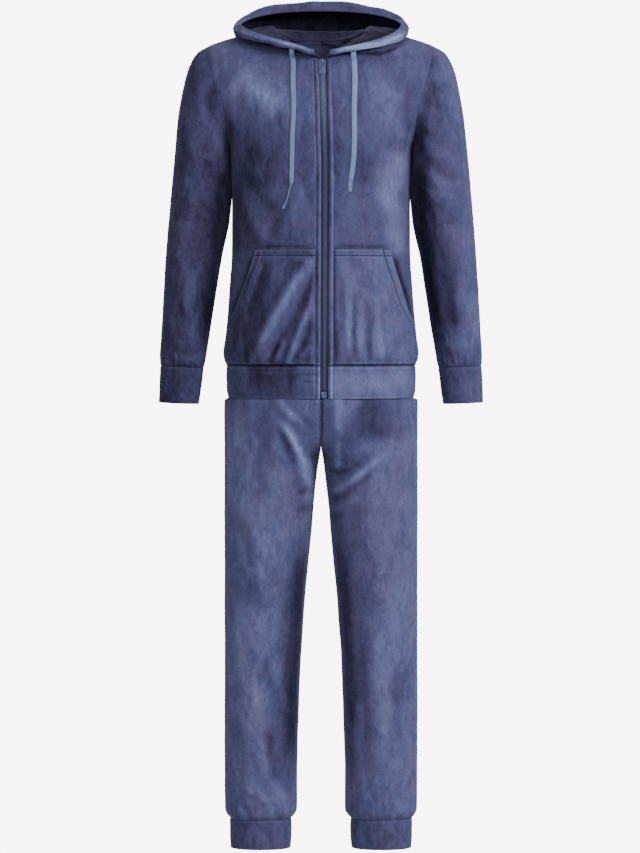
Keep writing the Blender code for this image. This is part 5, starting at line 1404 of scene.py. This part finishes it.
def prisms(ring_sets):
    """Closed bars with flat ends, many at once, from an array (bar, ring, corner, xyz)."""
    bars, rings, corners = ring_sets.shape[:3]
    number = np.arange(rings * corners).reshape(rings, corners)
    wrapped = np.hstack([number, number[:, :1]])
    corners_of = (wrapped[:-1, :-1], wrapped[:-1, 1:], wrapped[1:, 1:], wrapped[1:, :-1])
    sides = np.stack(corners_of, axis=-1).reshape(-1, 4)
    caps = [number[0, ::-1], number[-1]]
    faces = []
    for bar in range(bars):
        first = bar * rings * corners
        faces += (sides + first).tolist() + [(cap + first).tolist() for cap in caps]
    return ring_sets.reshape(-1, 3), faces


def teeth_of(sign, start):
    """The teeth of one side: hexagonal bars that reach from the tape over the middle line."""
    along = np.arange(start, ZIP_LENGTH - CHAIN_END, PITCH)
    point, up, out = on_zip(along)
    turn6 = np.array((30, 90, 150, 210, 270, 330)) * math.pi / 180
    reach = sign * np.array((0.0034, 0.0022, 0.0004, -0.0007))
    tall = np.array((0.00085, 0.00085, 0.00112, 0.00085))
    deep = np.array((0.00075, 0.00105, 0.00125, 0.00085))
    shape_up = tall[:, None] * np.cos(turn6)
    shape_out = deep[:, None] * np.sin(turn6)
    rings = (point[:, None, None] + reach[None, :, None, None] * np.array((1.0, 0, 0))
             + shape_up[None, ..., None] * up[:, None, None]
             + (shape_out[None, ..., None] - CHAIN_SUNK) * out[:, None, None])
    return rings if sign > 0 else rings[:, :, ::-1]


points, faces = prisms(np.concatenate([teeth_of(1, CHAIN_START), teeth_of(-1, CHAIN_START + PITCH / 2)]))
teeth = new_object("teeth", points, faces, teeth_plastic)
teeth.data.shade_flat()
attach(teeth, "cloth")
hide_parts("zip_chain")
print("teeth:", len(faces) // 20, "of 20 faces")

# %% [markdown]
# ## Stitches
#
# A seam is a row of short threads that dip into the cloth at both ends. The pieces were sewn on grids, and the
# distance to an edge is known at each grid point, so a seam is the line where that distance has one value. The
# threads are set along that line at equal steps, as small six-sided bars.

# %% Stitches
STITCH, STITCH_LONG, STITCH_THICK = 3.2 * MM, 2.3 * MM, 0.26 * MM
EDGE_STITCH, ZIP_STITCH = 2.4 * MM, 8.4 * MM      # from a pocket's edge, and from the zip's edge of a front


def line_at(points, facing, away, level):
    """Point and outward direction in each column where `away`, which grows down the rows, reaches `level`."""
    row = np.clip(np.argmax(away >= level, axis=0), 1, None)
    column = np.arange(points.shape[1])
    before, after = away[row - 1, column], away[row, column]
    t = np.clip((level - before) / np.maximum(after - before, 1e-9), 0, 1)[:, None]
    return (points[row - 1, column] * (1 - t) + points[row, column] * t,
            unit(facing[row - 1, column] * (1 - t) + facing[row, column] * t))


def threads(line, out):
    """Bars (bar, ring, corner, xyz) at equal steps along a line, each thin and sunk at both of its ends."""
    travelled = run(line)
    steps = np.arange(STITCH, travelled[-1] - STITCH, STITCH)
    places = steps[:, None] + STITCH_LONG / 2 * np.array((-1, -0.6, 0.6, 1))
    point, lift = (along_line(places, travelled, values) for values in (line, out))
    way = unit(point[:, -1] - point[:, 0])[:, None]
    lift = unit(lift)
    across = unit(np.cross(lift, way))
    turn = 2 * math.pi * np.arange(6) / 6
    thick = STITCH_THICK * np.array((0.4, 1, 1, 0.4))[None, :, None, None]
    high = np.array((-0.30, 0.12, 0.12, -0.30))[None, :, None, None] * MM
    return (point[:, :, None] + lift[:, :, None] * high
            + thick * (np.cos(turn)[:, None] * across[:, :, None] + np.sin(turn)[:, None] * lift[:, :, None]))


def edges_of(name):
    """A sewn piece turned so that a distance grows down its rows: from its last row, and from either side."""
    points, facing = sewn[name]
    _, fall, _ = edge_distance(points, "flat")
    crossed = crossed_from_first(points)
    over, across = points.transpose(1, 0, 2), facing.transpose(1, 0, 2)
    return {"last_row": (points[::-1], facing[::-1], fall[::-1]),
            "first_column": (over, across, crossed.T),
            "last_column": (over[::-1], across[::-1], (crossed[:, -1:] - crossed).T[::-1])}


seams = []
for side, mouth, zipper in (("left", "last_column", "first_column"), ("right", "first_column", "last_column")):
    pocket, front, hood = (edges_of(name + side) for name in ("pocket_", "jacket_front_", "hood_"))
    seams += [(pocket["last_row"], EDGE_STITCH), (pocket["last_row"], TOP_HEM), (pocket[mouth], EDGE_STITCH),
              (pocket[mouth], MOUTH_HEM * MOUTH_SLANT), (front[zipper], ZIP_STITCH),
              (hood["last_row"], LIP_HEM)]
bars = np.concatenate([threads(*line_at(*edge, level)) for edge, level in seams])
points, faces = prisms(bars)
stitches = new_object("stitches", points, faces, light_thread)
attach(stitches, "cloth")
print("stitches:", len(bars), "of", len(faces) // len(bars), "faces")

# %% [markdown]
# ## Slider, pull tab and bottom box
#
# The slider is two plates joined by a post between the tapes, with an arch over its face. The pull tab is a
# plate with a window, hung on the arch by its cross bar: it's the only piece that turns. Each plate is an
# outline extruded to a thickness, with a small bevel that catches the light.

# %% Plates
SLIDER = np.array((0.001938, -0.102, -0.025))
TILT = -0.2067


def set_at(points, middle, tilt):
    """Points turned to the slope of the chest and moved to their place."""
    cos, sin = math.cos(tilt), math.sin(tilt)
    turned = points @ np.array(((1, 0, 0), (0, cos, sin), (0, -sin, cos)))
    return turned + middle


def rounded(outline, radius, steps=4):
    """A closed outline (x, z) with its corners rounded by quarter bends."""
    outline = np.asarray(outline, float)
    before, after = np.roll(outline, 1, axis=0), np.roll(outline, -1, axis=0)
    reach = np.minimum(radius, 0.45 * np.minimum(np.linalg.norm(before - outline, axis=1),
                                                 np.linalg.norm(after - outline, axis=1)))[:, None]
    start, end = outline + unit(before - outline) * reach, outline + unit(after - outline) * reach
    t = np.linspace(0, 1, steps)[None, :, None]
    bends = (1 - t) ** 2 * start[:, None] + 2 * t * (1 - t) * outline[:, None] + t ** 2 * end[:, None]
    return bends.reshape(-1, 2)


def plate(name, outline, face, back, middle, tilt, hole=None, bevel=0.0003):
    """A plate between the depths `face` and `back`, with an outline and perhaps a hole of as many points."""
    loops = [np.asarray(outline)] + ([np.asarray(hole)] if hole is not None else [])
    count = len(outline)
    points = np.vstack([np.stack([loop[:, 0], np.full(len(loop), y), loop[:, 1]], 1) for loop in loops
                        for y in (face, back)])
    a = np.arange(count)
    b = np.roll(a, -1)
    if hole is None:
        faces = [a.tolist(), (a[::-1] + count).tolist()]
        faces += np.stack([b, a, a + count, b + count], 1).tolist()
    else:
        faces = np.vstack([np.stack([a, b, b + 2 * count, a + 2 * count], 1),
                           np.stack([b, a, a + 3 * count, b + 3 * count], 1) + (count, count, 0, 0),
                           np.stack([b, a, a + count, b + count], 1),
                           np.stack([a, b, b + count, a + count], 1) + 2 * count]).tolist()
    made = new_object(name, set_at(points, middle, tilt), faces, enamel)
    face_outwards(made)
    edge = made.modifiers.new("edge", "BEVEL")
    edge.width, edge.segments, edge.limit_method, edge.angle_limit = bevel, 2, "ANGLE", 0.6
    return made


def bar(name, path, half_wide, half_deep, middle, tilt, corners=10):
    """A rounded bar along a path (x, y, z): ovals across it, with domed ends."""
    path = np.asarray(path, float)
    line = np.linspace(path[0], path[1], 14)
    if len(path) > 2:
        line = glide(path, np.linspace(0, len(path) - 1, 26))
    along = unit(np.gradient(line, axis=0))
    side = np.array((1.0, 0, 0)) if abs(along[len(along) // 2, 0]) < 0.7 else np.array((0, 0, 1.0))
    wide = unit(side - along * (along @ side)[:, None])
    deep = np.cross(along, wide)
    turn = 2 * math.pi * np.arange(corners) / corners
    travelled = np.linspace(0, 1, len(line))
    dome = np.sqrt(np.clip(1 - np.clip(1 - np.minimum(travelled, 1 - travelled) / 0.06, 0, 1) ** 2, 0.05, 1))
    rings = (line[:, None] + dome[:, None, None] * (half_wide * np.cos(turn)[None, :, None] * wide[:, None]
             + half_deep * np.sin(turn)[None, :, None] * deep[:, None]))
    points, faces = prisms(set_at(rings.reshape(-1, 3), middle, tilt).reshape(1, *rings.shape))
    made = new_object(name, points, faces, enamel)
    face_outwards(made)
    return made


# %% Slider
shield = rounded([(-0.0030, 0), (0.0030, 0), (0.0050, -0.0022), (0.0049, -0.0075), (0.0034, -0.0125),
                  (-0.0034, -0.0125), (-0.0049, -0.0075), (-0.0050, -0.0022)], 0.0012)
front_plate = plate("slider_front", shield, -0.0018, 0.0000, SLIDER, TILT, bevel=0.0004)
back_plate = plate("slider_back", shield, 0.0040, 0.0052, SLIDER, TILT, bevel=0.0003)
diamond = rounded([(0, -0.0005), (0.0020, -0.0030), (0, -0.0062), (-0.0020, -0.0030)], 0.0008)
post = plate("slider_post", diamond, -0.0004, 0.0044, SLIDER, TILT, bevel=0.0002)
arch = bar("slider_arch", [(0, -0.0012, -0.0020), (0, -0.0040, -0.0017), (0, -0.00465, -0.0040),
                           (0, -0.00465, -0.0070), (0, -0.0040, -0.0093), (0, -0.0012, -0.0090)],
           0.00115, 0.00050, SLIDER, TILT)
for made in (front_plate, back_plate, post, arch):
    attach(made, "cloth")
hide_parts("zip_slider")

# %% Pull tab
HANG = SLIDER + set_at(np.array(((0.0, -0.00295, -0.0037),)), 0, TILT)[0]
outline = rounded([(-0.0060, 0.0004), (-0.0060, -0.0100), (-0.0047, -0.0243),
                   (0.0047, -0.0243), (0.0060, -0.0100), (0.0060, 0.0004)], 0.0016, 6)
window = rounded([(-0.0032, -0.0010), (-0.0032, -0.0060), (-0.0027, -0.0098),
                  (0.0027, -0.0098), (0.0032, -0.0060), (0.0032, -0.0010)], 0.0012, 6)
tab = plate("pull_plate", outline, -0.0006, 0.0006, HANG, TILT, window, 0.00028)
pin = bar("pull_bar", [(-0.0058, 0, 0), (0.0058, 0, 0)], 0.0007, 0.0007, HANG, TILT)
grip_face = rounded([(-0.0036, -0.0122), (-0.0031, -0.0222), (0.0031, -0.0222), (0.0036, -0.0122)], 0.0009)
grip = plate("pull_grip", grip_face, -0.00095, 0.00095, HANG, TILT, bevel=0.00022)
for made in (tab, pin, grip):
    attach(made, "pull_tab")
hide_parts("zip_pull")

# %% Bottom box
box_at = np.array((0.005422, -0.1205, -0.6125))
box = plate("box", rounded([(-0.0045, -0.0003), (0.0045, -0.0003), (0.0045, -0.0104), (0.0033, -0.0113),
                            (-0.0033, -0.0113), (-0.0045, -0.0104)], 0.0008),
            -0.0010, 0.0032, box_at, 0.0, bevel=0.0004)
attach(box, "cloth")
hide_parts("zip_box")
print("zip hardware is in place")

# %% [markdown]
# ## The drawstrings
#
# The hood's drawstring is a flat satin tape. Its two ends come out from under the hood's lip and hang down the
# chest. The wearer's left end is whipped twice with thread; the right end has frayed to a thin tail with a
# knot.

# %% Drawstrings
STRING_COLUMNS = ("x", "y", "z", "width")
STRING_LEFT = (
    (0.0570, -0.0915, -0.0102, 0.0099),      # out from under the hood
    (0.0574, -0.0926, -0.0185, 0.0099),
    (0.0589, -0.0974, -0.0290, 0.0099),
    (0.0590, -0.0991, -0.0370, 0.0099),
    (0.0591, -0.1013, -0.0450, 0.0099),
    (0.0592, -0.1034, -0.0530, 0.0099),
    (0.0592, -0.1051, -0.0600, 0.0099),
    (0.0592, -0.1084, -0.0780, 0.0098),
    (0.0592, -0.1113, -0.0970, 0.0098),
    (0.0590, -0.1143, -0.1230, 0.0096),
    (0.0587, -0.1162, -0.1500, 0.0095),
    (0.0578, -0.1176, -0.1980, 0.0090),
    (0.0562, -0.1175, -0.2200, 0.0090),
    (0.0541, -0.1175, -0.2333, 0.0088),
    (0.0522, -0.1175, -0.2457, 0.0074),      # whipped end
    (0.0511, -0.1174, -0.2598, 0.0070),
)
STRING_RIGHT = (
    (-0.0520, -0.0905, -0.0056, 0.0090),     # out from under the hood
    (-0.0515, -0.0906, -0.0160, 0.0090),
    (-0.0496, -0.0982, -0.0270, 0.0090),
    (-0.0493, -0.1002, -0.0350, 0.0090),
    (-0.0491, -0.1022, -0.0430, 0.0090),
    (-0.0490, -0.1039, -0.0500, 0.0090),
    (-0.0489, -0.1055, -0.0560, 0.0089),
    (-0.0488, -0.1092, -0.0770, 0.0089),
    (-0.0487, -0.1120, -0.0986, 0.0088),
    (-0.0492, -0.1144, -0.1230, 0.0087),
    (-0.0497, -0.1159, -0.1483, 0.0086),
    (-0.0506, -0.1169, -0.1855, 0.0084),
    (-0.0524, -0.1156, -0.2262, 0.0080),
    (-0.0525, -0.1151, -0.2420, 0.0076),
    (-0.0535, -0.1147, -0.2470, 0.0024),     # frayed to a thin tail
    (-0.0562, -0.1139, -0.2571, 0.0022),
    (-0.0597, -0.1126, -0.2739, 0.0022),
    (-0.0640, -0.1112, -0.2845, 0.0022),
    (-0.0649, -0.1109, -0.2858, 0.0046),     # knot
    (-0.0668, -0.1105, -0.2894, 0.0040),
)
STRING_THICK, STRING_SLOPE = 0.0014, 0.21
WHIPPING_WIDE, WHIPPING_DEEP, WHIPPING_TALL = 0.0040, 0.0013, 0.0026      # half width, half depth, height


def ribbon(name, route, rows=220, corners=14):
    """A flat tape with round edges along a route, with its lengthways and crossways places as attributes."""
    at = dict(zip(STRING_COLUMNS, glide(route, np.linspace(0, len(route) - 1, rows)).T))
    line = np.stack([at["x"], at["y"], at["z"]], axis=-1)
    travelled = run(line)
    along = unit(np.gradient(line, axis=0))
    level = unit(np.cross(along, (0.0, 1.0, 0.0)))
    turned = level + np.sign(line[:, :1]) * STRING_SLOPE * np.array((0.0, 1.0, 0.0))
    across = unit(turned - along * np.sum(turned * along, axis=-1, keepdims=True))
    facing = np.cross(across, along)
    turn = 2 * math.pi * np.arange(corners) / corners
    flat = np.sign(np.cos(turn)) * np.abs(np.cos(turn)) ** 0.55
    thick = np.sign(np.sin(turn)) * np.abs(np.sin(turn)) ** 0.8
    sway = 0.0006 * np.sin(travelled * 55 + line[0, 0] * 90)
    half = at["width"][:, None] / 2 * flat[None]
    deep = STRING_THICK / 2 * thick[None] * np.minimum(1, 0.5 + at["width"][:, None] / 0.006)
    rings = line[:, None] + half[..., None] * across[:, None] + deep[..., None] * facing[:, None]
    rings = rings + sway[:, None, None] * across[:, None] * smooth(travelled, 0.02, 0.06)[:, None, None]
    points, faces = prisms(rings[None])
    made = new_object(name, points, faces, satin, {
        "along": np.repeat(travelled, corners), "over": np.tile((flat + 1) / 2, rows)})
    face_outwards(made)
    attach(made, "cloth")
    return made, rings.mean(axis=1), across, facing


def whipping(name, centre, across, facing, along):
    """A band of thread wound round the tape: a rounded oval ring, a little wider than the tape."""
    turn = 2 * math.pi * np.arange(20) / 20
    bulge = np.linspace(-1, 1, 5)
    swell = 1 + 0.12 * np.sqrt(np.clip(1 - bulge ** 2, 0, 1))
    rings = (centre + bulge[:, None, None] * WHIPPING_TALL / 2 * along
             + swell[:, None, None] * (WHIPPING_WIDE * np.cos(turn)[None, :, None] * across
                                       + WHIPPING_DEEP * np.sin(turn)[None, :, None] * facing))
    points, faces = prisms(rings[None])
    made = new_object(name, points, faces, light_thread)
    face_outwards(made)
    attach(made, "cloth")
    return made


left_string, left_path, across, facing = ribbon("string_left", STRING_LEFT)
along = unit(np.gradient(left_path, axis=0))
bands = [whipping(f"whipping_{number}", left_path[place], across[place], facing[place], along[place])
         for number, place in enumerate((-22, -10))]
right_string, right_path, _, _ = ribbon("string_right", STRING_RIGHT)
for made, path, node, diameter, far_end, carried_along in (
        (left_string, left_path, "drawstring_left", 0.0092, "bare", bands),
        (right_string, right_path, "drawstring_right", 0.0084, "knot", [])):
    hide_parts(node)
